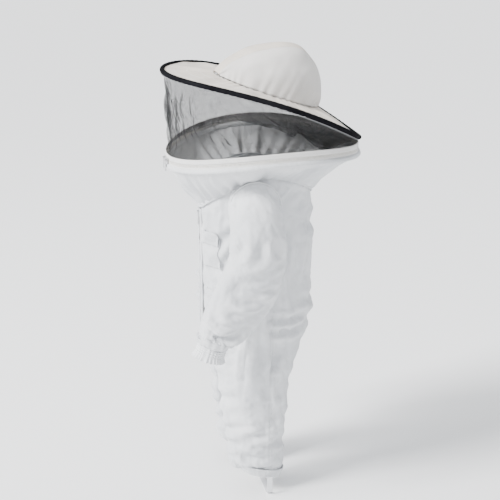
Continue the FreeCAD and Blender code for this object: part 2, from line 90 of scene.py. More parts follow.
def make_light(name, place, target, size, watts, tint=(1, 1, 1)):
    data = bpy.data.lights.new(name, "AREA")
    data.energy = watts
    data.size = size
    data.color = tint
    light = bpy.data.objects.new(name, data)
    light.location = place
    light.rotation_euler = (Vector(target) - Vector(place)).to_track_quat("-Z", "Y").to_euler()
    bpy.context.scene.collection.objects.link(light)


def make_studio():
    world = bpy.data.worlds.new("studio")
    world.use_nodes = True
    world.node_tree.nodes["Background"].inputs["Color"].default_value = (0.93, 0.96, 1.0, 1)
    world.node_tree.nodes["Background"].inputs["Strength"].default_value = 1.0
    bpy.context.scene.world = world
    middle = at(0, 0, 0.55)
    make_light("key", at(-0.3, -2.8, 2.2), middle, 0.9, 60)
    make_light("fill", at(3.2, -0.6, 2.0), middle, 2.2, 16)
    make_light("top", at(-0.4, 0.2, 3.2), middle, 1.4, 20)
    sun = bpy.data.lights.new("soft_sun", "SUN")
    sun.energy = SUN_STRENGTH
    sun.angle = math.radians(18)
    high = bpy.data.objects.new("soft_sun", sun)
    high.rotation_euler = Vector(SUN_FROM).to_track_quat("Z", "Y").to_euler()
    bpy.context.scene.collection.objects.link(high)
    bpy.ops.mesh.primitive_plane_add(size=40, location=at(0, 0, -0.001))
    floor = bpy.context.object
    floor.name = "floor"
    floor.data.materials.append(plain_material("floor_paper", (0.97, 0.97, 0.97), 0.8))


# ---- materials ----------------------------------------------------------------------------------
def new_material(name):
    material = bpy.data.materials.new(name)
    material.use_nodes = True
    tree = material.node_tree
    return material, tree, tree.nodes["Principled BSDF"]


def plain_material(name, colour, roughness):
    material, tree, shader = new_material(name)
    shader.inputs["Base Color"].default_value = (*colour, 1)
    shader.inputs["Roughness"].default_value = roughness
    return material


def link(tree, socket, source):
    tree.links.new(source, socket)


def math_node(tree, operation, first, second=None):
    node = tree.nodes.new("ShaderNodeMath")
    node.operation = operation
    for socket, value in zip(node.inputs, (first, second)):
        if value is None:
            continue
        if isinstance(value, (int, float)):
            socket.default_value = value
        else:
            tree.links.new(value, socket)
    return node.outputs[0]


def weave_height(tree, pitch, threads):
    """Height of crossing threads, from the cloth's own flat coordinates in metres."""
    flat = tree.nodes.new("ShaderNodeUVMap")
    flat.uv_map = "flat"
    heights = []
    for direction in ("X", "Y"):
        wave = tree.nodes.new("ShaderNodeTexWave")
        wave.bands_direction = direction
        wave.inputs["Scale"].default_value = 2 * math.pi / (20 * pitch)
        wave.inputs["Distortion"].default_value = threads
        wave.inputs["Detail Scale"].default_value = 0.4
        tree.links.new(flat.outputs["UV"], wave.inputs["Vector"])
        heights.append(wave.outputs["Fac"])
    return math_node(tree, "MULTIPLY", *heights)


def noise_value(tree, scale, detail, distortion=0.0):
    place = tree.nodes.new("ShaderNodeTexCoord")
    node = tree.nodes.new("ShaderNodeTexNoise")
    node.inputs["Scale"].default_value = scale
    node.inputs["Detail"].default_value = detail
    node.inputs["Distortion"].default_value = distortion
    tree.links.new(place.outputs["Object"], node.inputs["Vector"])
    return node.outputs["Fac"]


def tint(tree, shader, value, dark, light):
    """Colour that drifts between two shades with a value from 0.35 to 0.65."""
    ramp = tree.nodes.new("ShaderNodeValToRGB")
    ramp.color_ramp.elements[0].position = 0.35
    ramp.color_ramp.elements[1].position = 0.65
    ramp.color_ramp.elements[0].color = (*dark, 1)
    ramp.color_ramp.elements[1].color = (*light, 1)
    tree.links.new(value, ramp.inputs["Fac"])
    tree.links.new(ramp.outputs["Color"], shader.inputs["Base Color"])


def bump(tree, shader, height, strength, distance, below=None):
    node = tree.nodes.new("ShaderNodeBump")
    node.inputs["Strength"].default_value = strength
    node.inputs["Distance"].default_value = distance
    tree.links.new(height, node.inputs["Height"])
    if below is not None:
        tree.links.new(below.outputs["Normal"], node.inputs["Normal"])
    tree.links.new(node.outputs["Normal"], shader.inputs["Normal"])
    return node


def cloth_material(name, dark, light, pitch=0.0007, wrinkle=0.0011, roughness=0.86, sheen=0.06,
                   specular=0.25):
    """Woven cloth: a drift of shade, fine crinkles and crossing threads."""
    material, tree, shader = new_material(name)
    tint(tree, shader, noise_value(tree, 9.0, 4.0), dark, light)
    shader.inputs["Roughness"].default_value = roughness
    shader.inputs["Sheen Weight"].default_value = sheen
    shader.inputs["Sheen Roughness"].default_value = 0.6
    shader.inputs["Specular IOR Level"].default_value = specular
    crinkle = bump(tree, shader, noise_value(tree, 55.0, 5.0, 0.6), 0.55, wrinkle)
    bump(tree, shader, weave_height(tree, pitch, 0.6), 0.45, 0.00018, crinkle)
    return material


def net_material(name, colour, cell, thread):
    """Knitted net: diagonal threads of a given width with open cells between them."""
    material, tree, shader = new_material(name)
    shader.inputs["Base Color"].default_value = (*colour, 1)
    shader.inputs["Roughness"].default_value = 0.6
    flat = tree.nodes.new("ShaderNodeUVMap")
    flat.uv_map = "flat"
    parts = tree.nodes.new("ShaderNodeSeparateXYZ")
    tree.links.new(flat.outputs["UV"], parts.inputs["Vector"])
    lines = []
    for operation in ("ADD", "SUBTRACT"):
        along = math_node(tree, operation, parts.outputs["X"], parts.outputs["Y"])
        cells = math_node(tree, "DIVIDE", along, cell)
        inside = math_node(tree, "FRACT", cells)
        lines.append(math_node(tree, "LESS_THAN", inside, thread / cell))
    either = math_node(tree, "MAXIMUM", *lines)
    tree.links.new(either, shader.inputs["Alpha"])
    return material


def metal_material(name, dark, light, roughness):
    material, tree, shader = new_material(name)
    tint(tree, shader, noise_value(tree, 160.0, 3.0), dark, light)
    shader.inputs["Metallic"].default_value = 1.0
    shader.inputs["Roughness"].default_value = roughness
    bump(tree, shader, noise_value(tree, 900.0, 2.0), 0.25, 0.0001)
    return material


def nylon_material(name, dark, light):
    material, tree, shader = new_material(name)
    tint(tree, shader, noise_value(tree, 220.0, 2.0), dark, light)
    shader.inputs["Roughness"].default_value = 0.45
    bump(tree, shader, noise_value(tree, 1500.0, 1.0), 0.2, 0.0001)
    return material


# ---- the form: smooth tubes that the coverall is cut from ----------------------------------------
# height, half width, reach to the front, reach to the back
BODY_ROWS = [
    (0.322, 0.060, 0.075, 0.070), (0.345, 0.108, 0.106, 0.096), (0.385, 0.119, 0.118, 0.114),
    (0.414, 0.121, 0.120, 0.124), (0.443, 0.121, 0.124, 0.128), (0.516, 0.120, 0.126, 0.122),
    (0.590, 0.121, 0.128, 0.128), (0.640, 0.121, 0.128, 0.127), (0.690, 0.121, 0.128, 0.116),
    (0.735, 0.115, 0.120, 0.106), (0.765, 0.095, 0.104, 0.092),
]
BODY_MIDDLE_Y = -0.002
SHOULDER = (0.1274, -0.032, 0.688)
ARMHOLE_R = 0.057
ARMPIT = (0.129, 0.630)
# height, middle and half depth from front to back, middle and half width from side to side
ARM_ROWS = [
    (0.572, -0.043, 0.073, 0.178, 0.047), (0.540, -0.055, 0.079, 0.179, 0.047),
    (0.505, -0.073, 0.080, 0.180, 0.046), (0.475, -0.090, 0.073, 0.180, 0.046),
    (0.450, -0.106, 0.062, 0.180, 0.045), (0.428, -0.123, 0.051, 0.180, 0.042),
]
CUFF_MIDDLE = (0.180, -0.140, 0.399)
CUFF_AXIS = Vector((0.0, -0.29, -0.957)).normalized()
CUFF_R = 0.029
CUFF_LENGTH = 0.022
RIGHT_ARM_BACK = math.radians(14)   # the right arm hangs behind the left one
# height, front, back, middle and half width from side to side
LEG_ROWS = [
    (0.400, -0.082, 0.078, 0.062, 0.052), (0.375, -0.092, 0.086, 0.062, 0.053),
    (0.350, -0.096, 0.088, 0.063, 0.054), (0.320, -0.094, 0.078, 0.064, 0.055),
    (0.285, -0.088, 0.064, 0.066, 0.055), (0.250, -0.084, 0.060, 0.067, 0.053),
    (0.218, -0.084, 0.062, 0.068, 0.053), (0.183, -0.076, 0.053, 0.069, 0.050),
    (0.153, -0.070, 0.047, 0.070, 0.048), (0.125, -0.074, 0.047, 0.071, 0.049),
    (0.097, -0.082, 0.054, 0.072, 0.049),
]
# the hem slopes, so its rows have a height at the front and another at the back
HEM_ROWS = [(0.082, 0.072, -0.074, 0.055, 0.073, 0.045), (0.066, 0.044, -0.061, 0.041, 0.074, 0.039),
            (0.054, 0.030, -0.055, 0.036, 0.074, 0.036)]
VOXEL = 0.0065


def eased(rows, height, column):
    """Smooth value of one column of rows sorted by their first entry."""
    for low, high in zip(rows, rows[1:]):
        if height <= high[0]:
            t = min(max((height - low[0]) / (high[0] - low[0]), 0.0), 1.0)
            t = t * t * (3 - 2 * t)
            return low[column] + (high[column] - low[column]) * t
    return rows[-1][column]


def rounded(angle, half_width, front, back, power):
    """Rounded-rectangle section. Angle 0 is the front and it grows towards the wearer's left."""
    reach = front if math.cos(angle) > 0 else back
    r = (abs(math.sin(angle) / half_width) ** power
         + abs(math.cos(angle) / reach) ** power) ** (-1 / power)
    return r * math.sin(angle), -r * math.cos(angle)


def turn_angles(count):
    return [2 * math.pi * i / count for i in range(count)]


def add_tube(bm, rings):
    """Closed tube through rings of points, capped at both ends."""
    loops = [[bm.verts.new(p) for p in ring] for ring in rings]
    count = len(loops[0])
    for low, high in zip(loops, loops[1:]):
        for i in range(count):
            bm.faces.new((low[i], low[(i + 1) % count], high[(i + 1) % count], high[i]))
    bm.faces.new(list(reversed(loops[0])))
    bm.faces.new(loops[-1])


def body_rings(inset):
    rings = []
    for height in np.linspace(BODY_ROWS[0][0] + inset, BODY_ROWS[-1][0] - inset, 48):
        sizes = [eased(BODY_ROWS, height, c) - inset for c in (1, 2, 3)]
        ring = [rounded(a, *sizes, 2.6) for a in turn_angles(80)]
        rings.append([at(x, BODY_MIDDLE_Y + y, height) for x, y in ring])
    return rings


def leg_rings(side, inset):
    rows = [(z, z, *rest) for z, *rest in LEG_ROWS] + HEM_ROWS
    rings = []
    for front_z, back_z, front, back, x, half in rows:
        reach = (back - front) / 2
        ring = []
        for a in turn_angles(56):
            dx, dy = rounded(a, half - inset, reach - inset, reach - inset, 2.3)
            share = (dy + reach) / (2 * reach)
            ring.append(at(side * (x + dx), (front + back) / 2 + dy,
                           front_z + (back_z - front_z) * share))
        rings.append(ring if side < 0 else ring[::-1])
    return rings


def on_arm(side, p):
    """Place of a left-arm point on either arm; p has its height above the soles."""
    q = at(side * p[0], p[1], p[2])
    if side > 0:
        return q
    pivot = at(0, SHOULDER[1], SHOULDER[2])
    return pivot + Matrix.Rotation(RIGHT_ARM_BACK, 3, "X") @ (q - pivot)


def arm_direction(side, way):
    return way if side > 0 else Matrix.Rotation(RIGHT_ARM_BACK, 3, "X") @ way


def arm_rows():
    """Centre, across and forward directions, and the half sizes along them, of each section."""
    ahead = Vector((0, -1, 0))
    up = Vector((0, 0, 1))
    rows = [(Vector((SHOULDER[0] + shift, SHOULDER[1], SHOULDER[2])), up, ahead, ARMHOLE_R, ARMHOLE_R)
            for shift in (-0.035, 0.0)]
    reach = SHOULDER[2] + ARMHOLE_R - ARMPIT[1]
    for turn, length, depth in ((28, reach + 0.002, 0.058), (58, 0.108, 0.061), (90, 0.097, 0.065)):
        across = Vector((math.sin(math.radians(turn)), 0, math.cos(math.radians(turn))))
        share = turn / 90
        foot = Vector((ARMPIT[0] + 0.002 * share, SHOULDER[1] - 0.002 * share,
                       ARMPIT[1] - 0.026 * share ** 1.5))
        rows.append((foot + across * length / 2, across, ahead, length / 2, depth))
    for z, y, depth, x, half in ARM_ROWS:
        rows.append((Vector((x, y, z)), Vector((1, 0, 0)), ahead, half, depth))
    towards = Vector((0, CUFF_AXIS.z, -CUFF_AXIS.y))
    middle = Vector(CUFF_MIDDLE)
    for along, radius in ((-0.6, CUFF_R + 0.004), (0.4, CUFF_R + 0.001)):
        rows.append((middle + CUFF_AXIS * CUFF_LENGTH * along, Vector((1, 0, 0)), towards,
                     radius, radius))
    return rows


def arm_rings(side, inset):
    rings = []
    rows = arm_rows()
    for low, high in zip(rows, rows[1:] + rows[-1:]):
        for t in ((0, 0.34, 0.67) if low is not high else (0,)):
            centre, across, forward = (low[i].lerp(high[i], t) for i in range(3))
            half, depth = (low[i] + (high[i] - low[i]) * t - inset for i in (3, 4))
            ring = []
            for a in turn_angles(48):
                p = centre + across * half * -math.sin(a) + forward * depth * math.cos(a)
                ring.append(on_arm(side, p))
            rings.append(ring if side > 0 else ring[::-1])
    return rings


def trunk_tubes(inset):
    return [body_rings(inset), leg_rings(1, inset), leg_rings(-1, inset)]


def form_mesh(name, tubes, voxel):
    """One closed skin round several tubes."""
    bm = bmesh.new()
    for rings in tubes:
        add_tube(bm, rings)
    mesh = bpy.data.meshes.new(name)
    bm.to_mesh(mesh)
    bm.free()
    form = bpy.data.objects.new(name, mesh)
    bpy.context.scene.collection.objects.link(form)
    remesh = form.modifiers.new("voxels", "REMESH")
    remesh.mode = "VOXEL"
    remesh.voxel_size = voxel
    ease = form.modifiers.new("ease", "SMOOTH")
    ease.factor = 0.5
    ease.iterations = 6
    freeze(form)
    return form


def freeze(thing):
    """Replaces a thing's mesh with what its modifiers make of it."""
    view = bpy.context.evaluated_depsgraph_get()
    made = bpy.data.meshes.new_from_object(thing.evaluated_get(view), depsgraph=view)
    thing.modifiers.clear()
    thing.data = made


def vertices(thing):
    places = np.empty(len(thing.data.vertices) * 3)
    thing.data.vertices.foreach_get("co", places)
    return places.reshape(-1, 3)


def set_vertices(thing, places):
    thing.data.vertices.foreach_set("co", np.ascontiguousarray(places, float).ravel())
    thing.data.update()


def neck_height(angle):
    """Height of the neck seam round the body."""
    end = 0.668 if math.cos(angle) > 0 else 0.692
    return end + (0.750 - end) * abs(math.sin(angle)) ** 1.6


def open_armhole(sleeve):
    """Opens the inner end of a sleeve, which stands a little way inside the body."""
    bm = bmesh.new()
    bm.from_mesh(sleeve.data)
    gone = [f for f in bm.faces if abs(f.calc_center_median().x) < SHOULDER[0] - 0.031]
    bmesh.ops.delete(bm, geom=gone, context="FACES")
    bm.to_mesh(sleeve.data)
    bm.free()


def joined(name, things):
    """One object made of several, which it replaces."""
    bm = bmesh.new()
    for thing in things:
        bm.from_mesh(thing.data)
        bpy.data.objects.remove(thing)
    mesh = bpy.data.meshes.new(name)
    bm.to_mesh(mesh)
    bm.free()
    whole = bpy.data.objects.new(name, mesh)
    bpy.context.scene.collection.objects.link(whole)
    return whole


def cut_openings(cloth, has_neck):
    """Opens the neck and both hems of the trunk, or the cuff of a sleeve."""
    bm = bmesh.new()
    bm.from_mesh(cloth.data)
    for side in (1, -1):
        edge = Vector(CUFF_MIDDLE) - CUFF_AXIS * CUFF_LENGTH * 0.42
        near = [f for f in bm.faces if f.calc_center_median().x * side > 0.14
                and f.calc_center_median().z + SOLE < 0.45]
        cut_plane(bm, near, on_arm(side, edge), arm_direction(side, CUFF_AXIS))
    slope = (HEM_ROWS[2][1] - HEM_ROWS[2][0]) / 0.091
    low = [f for f in bm.faces if f.calc_center_median().z + SOLE < 0.09]
    cut_plane(bm, low, at(0, -0.055, HEM_ROWS[2][0] + 0.003), Vector((0, -slope, 1)))
    gone = []
    for face in bm.faces:
        p = face.calc_center_median()
        height = p.z + SOLE
        angle = math.atan2(p.x, -(p.y - BODY_MIDDLE_Y))
        open_neck = has_neck and height > neck_height(angle)
        side = 1 if p.x > 0 else -1
        beyond_cuff = (p - on_arm(side, CUFF_MIDDLE)).dot(arm_direction(side, CUFF_AXIS))
        open_cuff = abs(p.x) > 0.14 and beyond_cuff > -CUFF_LENGTH * 0.42 and height < 0.45
        low_z = HEM_ROWS[2][0] + (HEM_ROWS[2][1] - HEM_ROWS[2][0]) * (p.y + 0.055) / 0.091
        open_hem = height < low_z + 0.003
        if open_neck or open_cuff or open_hem:
            gone.append(face)
    bmesh.ops.delete(bm, geom=gone, context="FACES")
    bm.to_mesh(cloth.data)
    bm.free()


def smoothstep(t):
    t = np.clip(t, 0.0, 1.0)
    return t * t * (3 - 2 * t)


def boundary_distance(cloth):
    """Distance from each vertex to the nearest open edge."""
    bm = bmesh.new()
    bm.from_mesh(cloth.data)
    edge = [v.co.copy() for v in bm.verts if v.is_boundary]
    bm.free()
    tree = KDTree(len(edge))
    for i, p in enumerate(edge):
        tree.insert(p, i)
    tree.balance()
    return np.array([tree.find(p)[2] for p in map(Vector, vertices(cloth))])


def pin_weights(cloth):
    """1 where the cloth is held: at its open edges, at the armholes and beside the front zip."""
    p = vertices(cloth)
    held = 1 - smoothstep((boundary_distance(cloth) - 0.004) / 0.012)
    from_armhole = np.abs(np.abs(p[:, 0]) - SHOULDER[0])
    ring = (p[:, 2] + SOLE > ARMPIT[1] - 0.01)
    held = np.maximum(held, np.where(ring, 0.9 * (1 - smoothstep(from_armhole / 0.012)), 0))
    zip_strip = (p[:, 1] < -0.10) & (p[:, 2] + SOLE > 0.365)
    held = np.maximum(held, np.where(zip_strip, 1 - smoothstep((np.abs(p[:, 0]) - 0.016) / 0.014), 0))
    return held


def drape(cloth, form, frames, growth):
    """Lets cloth that is a little too large settle over the form, and keeps the result."""
    scene = bpy.context.scene
    pins = cloth.vertex_groups.new(name="pins")
    for i, weight in enumerate(pin_weights(cloth)):
        pins.add([i], float(weight), "REPLACE")
    form.modifiers.new("collision", "COLLISION")
    form.collision.thickness_outer = 0.003
    form.collision.cloth_friction = 12
    modifier = cloth.modifiers.new("cloth", "CLOTH")
    rules = modifier.settings
    rules.quality = 6
    rules.mass = 0.25
    rules.tension_stiffness = 12
    rules.compression_stiffness = 12
    rules.shear_stiffness = 6
    rules.bending_stiffness = 0.35
    rules.air_damping = 2
    rules.vertex_group_mass = "pins"
    rules.pin_stiffness = 5
    rules.shrink_min = -growth
    modifier.collision_settings.distance_min = 0.002
    modifier.collision_settings.collision_quality = 3
    modifier.point_cache.frame_start = 1
    modifier.point_cache.frame_end = frames
    scene.frame_start = 1
    scene.frame_end = frames
    for number in range(1, frames + 1):
        scene.frame_set(number)
    before = vertices(cloth)
    freeze(cloth)
    after = vertices(cloth)
    moved = after - before
    size = np.linalg.norm(moved, axis=1, keepdims=True)
    limit = 0.022
    set_vertices(cloth, before + moved * np.minimum(1, limit / np.maximum(size, 1e-9)))


# ---- folds that the pose makes, and cutting along the seams --------------------------------------
# How loose cloth hangs on a standing figure. Heights are above the soles.
ELBOW_HEIGHT = (SHOULDER[2] + CUFF_MIDDLE[2]) / 2
KNEE_HEIGHT = (LEG_ROWS[2][0] + HEM_ROWS[-1][0]) / 2
WAIST_HEIGHT = BODY_ROWS[3][0]
HEM_HEIGHT = HEM_ROWS[-1][0]
ELBOW_FAN = ((0.045, 0.005), (0.020, 0.008), (-0.005, 0.010), (-0.030, 0.007))    # rise, depth
CUFF_LIFTS = (0.044, 0.068, 0.090)
SHOULDER_DRAG = ((0.30, 0.18), (0.52, 0.50), (0.74, 0.80))          # shares at the top and below
BACK_DROPS = (0.80, 0.90)                                           # shares from front to back
WAIST_GATHERS = ((-0.012, 0.006), (0.016, 0.004))                   # lift, depth
THIGH_DROPS = (0.25, 0.65)
KNEE_BREAKS = ((0.030, 0.004), (0.006, 0.007), (-0.018, 0.005))     # rise, depth
HEM_STACK = ((0.040, 0.15, 0.75), (0.066, 0.30, 0.90), (0.092, 0.12, 0.62))   # lift, shares


def sleeve_reach(height):
    """Front and back of the sleeve at a height."""
    rows = ARM_ROWS[::-1]
    middle, half = eased(rows, height, 1), eased(rows, height, 2)
    return middle - half, middle + half


def leg_reach(height):
    """Front and back of the trouser leg at a height."""
    rows = LEG_ROWS[::-1]
    return eased(rows, height, 1), eased(rows, height, 2)


def body_reach(height):
    """Front and back of the body at a height."""
    return (BODY_MIDDLE_Y - eased(BODY_ROWS, height, 2),
            BODY_MIDDLE_Y + eased(BODY_ROWS, height, 3))


def fold_between(reach, begin, end, sag):
    """Fold between two places, each (share from front to back, height), that sags between them."""
    points = []
    for step in (0.0, 0.33, 0.67, 1.0):
        share = begin[0] + (end[0] - begin[0]) * step
        height = begin[1] + (end[1] - begin[1]) * step - sag * math.sin(math.pi * step)
        front, back = reach(height)
        points.append((front + (back - front) * share, height))
    return points


def side_folds():
    """Folds on a side of the suit, as (points, depth, half width)."""
    folds = []
    # The bent elbow crushes the cloth inside the bend, and it fans out towards the back.
    for rise, depth in ELBOW_FAN:
        folds.append((fold_between(sleeve_reach, (0.22, ELBOW_HEIGHT + rise * 0.4),
                                   (0.80, ELBOW_HEIGHT + rise), 0.010), depth, 0.008))
    # The elastic cuff holds the sleeve up, so the cloth above it bags.
    for count, lift in enumerate(CUFF_LIFTS):
        folds.append((fold_between(sleeve_reach, (0.15 + 0.08 * count, CUFF_MIDDLE[2] + lift),
                                   (0.88, CUFF_MIDDLE[2] + lift + 0.012), 0.016),
                      0.009 - 0.002 * count, 0.008))
    # The sleeve's weight draws long shallow lines down from the shoulder.
    for top, bottom in SHOULDER_DRAG:
        folds.append((fold_between(sleeve_reach, (top, SHOULDER[2] - 0.045),
                                   (bottom, ELBOW_HEIGHT + 0.055), 0.0), 0.004, 0.010))
    # Behind the arm the back hangs straight, and the waist elastic gathers it.
    for share in BACK_DROPS:
        folds.append((fold_between(body_reach, (share, 0.650), (share - 0.02, 0.500), 0.0),
                      0.005, 0.010))
    for lift, depth in WAIST_GATHERS:
        folds.append((fold_between(body_reach, (0.50, WAIST_HEIGHT + lift),
                                   (0.90, WAIST_HEIGHT + lift), 0.004), depth, 0.008))
    # The thigh falls from the hip, and the cloth breaks at the back of the knee.
    for share in THIGH_DROPS:
        folds.append((fold_between(leg_reach, (share, 0.375), (share - 0.05, KNEE_HEIGHT + 0.065),
                                   0.0), 0.005, 0.009))
    for rise, depth in KNEE_BREAKS:
        folds.append((fold_between(leg_reach, (0.88, KNEE_HEIGHT + rise * 0.5),
                                   (0.30, KNEE_HEIGHT + rise), 0.010), depth, 0.009))
    # Too long for the leg, the cloth stacks above the hem.
    for lift, begin, end in HEM_STACK:
        folds.append((fold_between(leg_reach, (begin, HEM_HEIGHT + lift),
                                   (end, HEM_HEIGHT + lift + 0.014), 0.006), 0.005, 0.009))
    return folds


# Folds across the front and the back, as (distance to the left, height), thrown along Y.
FRONT_FOLDS = [
    ([(0.118, 0.640), (0.080, 0.600), (0.045, 0.585)], 0.003, 0.010),
    ([(0.120, 0.600), (0.090, 0.560), (0.040, 0.530)], 0.002, 0.011),
    ([(0.030, 0.470), (0.070, 0.450), (0.115, 0.462)], 0.002, 0.010),
    ([(0.020, 0.395), (0.060, 0.372), (0.110, 0.384)], 0.003, 0.010),
    ([(0.012, 0.345), (0.045, 0.318), (0.095, 0.310)], 0.003, 0.010),
    ([(0.110, 0.250), (0.070, 0.232), (0.030, 0.238)], 0.003, 0.010),
    ([(0.112, 0.176), (0.070, 0.158), (0.028, 0.166)], 0.004, 0.009),
    ([(0.112, 0.128), (0.075, 0.112), (0.030, 0.120)], 0.003, 0.009),
]
BACK_FOLDS = [
    ([(0.112, 0.655), (0.070, 0.630), (0.020, 0.640), (-0.040, 0.628), (-0.100, 0.650)], 0.002, 0.012),
    ([(0.110, 0.470), (0.060, 0.452), (0.010, 0.462), (-0.050, 0.450), (-0.108, 0.468)], 0.002, 0.010),
    ([(0.105, 0.425), (0.060, 0.408), (0.015, 0.414), (-0.045, 0.404), (-0.105, 0.426)], 0.002, 0.010),
    ([(0.100, 0.372), (0.055, 0.350), (0.012, 0.336)], 0.002, 0.010),
    ([(0.110, 0.285), (0.070, 0.268), (0.030, 0.276)], 0.002, 0.010),
    ([(0.112, 0.196), (0.070, 0.182), (0.028, 0.190)], 0.002, 0.009),
    ([(0.112, 0.130), (0.075, 0.114), (0.030, 0.122)], 0.002, 0.009),
]
SIDE_PLANE_Y = 0.010        # side seams, and the seams inside and outside each leg
ZIP_HALF_GAP = 0.0068
COAT_THICKNESS = 0.0012


def catmull(points, count):
    """Evenly counted points on a smooth curve through a few given ones."""
    p = [Vector(q) for q in points]
    p = [p[0] * 2 - p[1]] + p + [p[-1] * 2 - p[-2]]
    made = []
    for i in range(count):
        s = i / (count - 1) * (len(p) - 3)
        k = min(int(s), len(p) - 4)
        t = s - k
        a, b, c, d = p[k:k + 4]
        made.append((b * 2 + (c - a) * t + (a * 2 - b * 5 + c * 4 - d) * t ** 2
                     + (b * 3 - a - c * 3 + d) * t ** 3) / 2)
    return made


def surface_tree(thing):
    return BVHTree.FromPolygons([v.co.copy() for v in thing.data.vertices],
                                [tuple(p.vertices) for p in thing.data.polygons])


def thrown_line(tree, points, start, towards):
    """Curve through points, thrown onto a surface along one direction."""
    line = []
    for p in catmull(points, 12 * len(points)):
        hit = tree.ray_cast(start(p), towards)
        if hit[0] is not None:
            line.append(hit[0])
    return line


def press_folds(cloth, lines):
    """Presses a valley along each line, with a soft ridge beside it."""
    places = vertices(cloth)
    normals = np.empty(len(places) * 3)
    cloth.data.vertices.foreach_get("normal", normals)
    normals = normals.reshape(-1, 3)
    shift = np.zeros(len(places))
    for line, depth, width in lines:
        if len(line) < 4:
            continue
        tree = KDTree(len(line))
        for i, p in enumerate(line):
            tree.insert(p, i)
        tree.balance()
        low = np.min([list(p) for p in line], axis=0) - 4 * width
        high = np.max([list(p) for p in line], axis=0) + 4 * width
        near = np.nonzero(np.all((places > low) & (places < high), axis=1))[0]
        for index in near:
            _, k, r = tree.find(Vector(places[index]))
            fade = math.sin(math.pi * (k + 0.5) / len(line)) ** 0.6
            valley = -1.5 * math.exp(-(r / width) ** 2)
            ridge = 0.9 * math.exp(-((r - 2.1 * width) / (0.9 * width)) ** 2)
            shift[index] += depth * fade * (valley + ridge)
    set_vertices(cloth, places + normals * shift[:, None])


def folds_of_pose(cloth):
    tree = surface_tree(cloth)
    lines = []
    for side in (1, -1):
        for points, depth, width in side_folds():
            lean = 1.0 if side > 0 else 0.8 + 0.4 * RNG.random()
            drift = 0.0 if side > 0 else 0.012 * (RNG.random() - 0.5)
            flat = [(0, y, z + drift - SOLE) for y, z in points]
            line = thrown_line(tree, flat, lambda p: Vector((side * 0.4, p.y, p.z)),
                               Vector((-side, 0, 0)))
            lines.append((line, depth * lean, width))
        for folds, way in ((FRONT_FOLDS, 1), (BACK_FOLDS, -1)):
            for points, depth, width in folds:
                drift = 0.010 * (RNG.random() - 0.5)
                flat = [(side * x, 0, z + drift - SOLE) for x, z in points]
                line = thrown_line(tree, flat, lambda p: Vector((p.x, -way * 0.4, p.z)),
                                   Vector((0, way, 0)))
                lines.append((line, depth, width))
    press_folds(cloth, lines)


def crumple(cloth, size, depth, seed):
    """Small irregular dents, as in cloth that has been folded and worn."""
    places = vertices(cloth)
    normals = np.empty(len(places) * 3)
    cloth.data.vertices.foreach_get("normal", normals)
    offset = Vector((seed * 7.3, seed * 3.1, seed * 5.7))
    heights = np.array([noise.turbulence(Vector(p) / size + offset, 3, True) for p in places])
    heights -= heights.mean()
    set_vertices(cloth, places + normals.reshape(-1, 3) * (heights * depth)[:, None])


def subdivide(thing, levels=1):
    modifier = thing.modifiers.new("finer", "SUBSURF")
    modifier.levels = modifier.render_levels = levels
    freeze(thing)


def islands(bm):
    """Lists of faces that hang together, in the mesh's own order."""
    seen = set()
    found = []
    for first in bm.faces:
        if first in seen:
            continue
        seen.add(first)
        patch = [first]
        for face in patch:
            for edge in face.edges:
                for other in edge.link_faces:
                    if other not in seen:
                        seen.add(other)
                        patch.append(other)
        found.append(patch)
    return found


def cut_plane(bm, faces, place, normal):
    geometry = list(faces) + list({e for f in faces for e in f.edges}) + \
        list({v for f in faces for v in f.verts})
    bmesh.ops.bisect_plane(bm, geom=geometry, dist=0.00002, plane_co=place, plane_no=normal)


def piece_of(bm, name, keep):
    """New object that holds the faces in keep."""
    copy = bmesh.new()
    made = {}
    for face in keep:
        corners = []
        for v in face.verts:
            if v not in made:
                made[v] = copy.verts.new(v.co)
            corners.append(made[v])
        copy.faces.new(corners).smooth = True
    mesh = bpy.data.meshes.new(name)
    copy.to_mesh(mesh)
    copy.free()
    thing = bpy.data.objects.new(name, mesh)
    bpy.context.scene.collection.objects.link(thing)
    return thing


def cut_coverall(cloth):
    """Cuts the draped skin into two fronts, two backs and two sleeves."""
    bm = bmesh.new()
    bm.from_mesh(cloth.data)
    pieces = {}
    rest = []
    for patch in islands(bm):
        reach = max((f.calc_center_median().x for f in patch), key=abs)
        if abs(reach) < 0.16:
            rest.extend(patch)
        elif len(patch) > 500:
            name = "sleeve_%s_cloth" % ("left" if reach > 0 else "right")
            pieces[name] = piece_of(bm, name, patch)
    trunk = bmesh.new()
    whole = piece_of(bm, "trunk", rest)
    trunk.from_mesh(whole.data)
    bpy.data.objects.remove(whole)
    bm.free()
    for place, normal in (((0, 0, 0), (1, 0, 0)), ((0, SIDE_PLANE_Y, 0), (0, 1, 0)),
                          ((ZIP_HALF_GAP, 0, 0), (1, 0, 0)), ((-ZIP_HALF_GAP, 0, 0), (1, 0, 0))):
        cut_plane(trunk, trunk.faces, place, normal)
    zip_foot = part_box("zip_tape_left")[0][2] - 0.006
    groups = {}
    for face in trunk.faces:
        p = face.calc_center_median()
        front = p.y < SIDE_PLANE_Y
        if front and abs(p.x) < ZIP_HALF_GAP and p.z > zip_foot:
            continue
        name = "coat_%s_%s" % ("front" if front else "back", "left" if p.x > 0 else "right")
        groups.setdefault(name, []).append(face)
    for name, faces in groups.items():
        pieces[name] = piece_of(trunk, name, faces)
    trunk.free()
    return pieces


def lay_flat(thing):
    """Writes each face's place on the cloth, in metres, for the weave: seen from side or front."""
    layer = thing.data.uv_layers.new(name="flat")
    for face in thing.data.polygons:
        sideways = abs(face.normal.x) > abs(face.normal.y)
        for corner in face.loop_indices:
            p = thing.data.vertices[thing.data.loops[corner].vertex_index].co
            layer.data[corner].uv = (p.y if sideways else p.x, p.z)


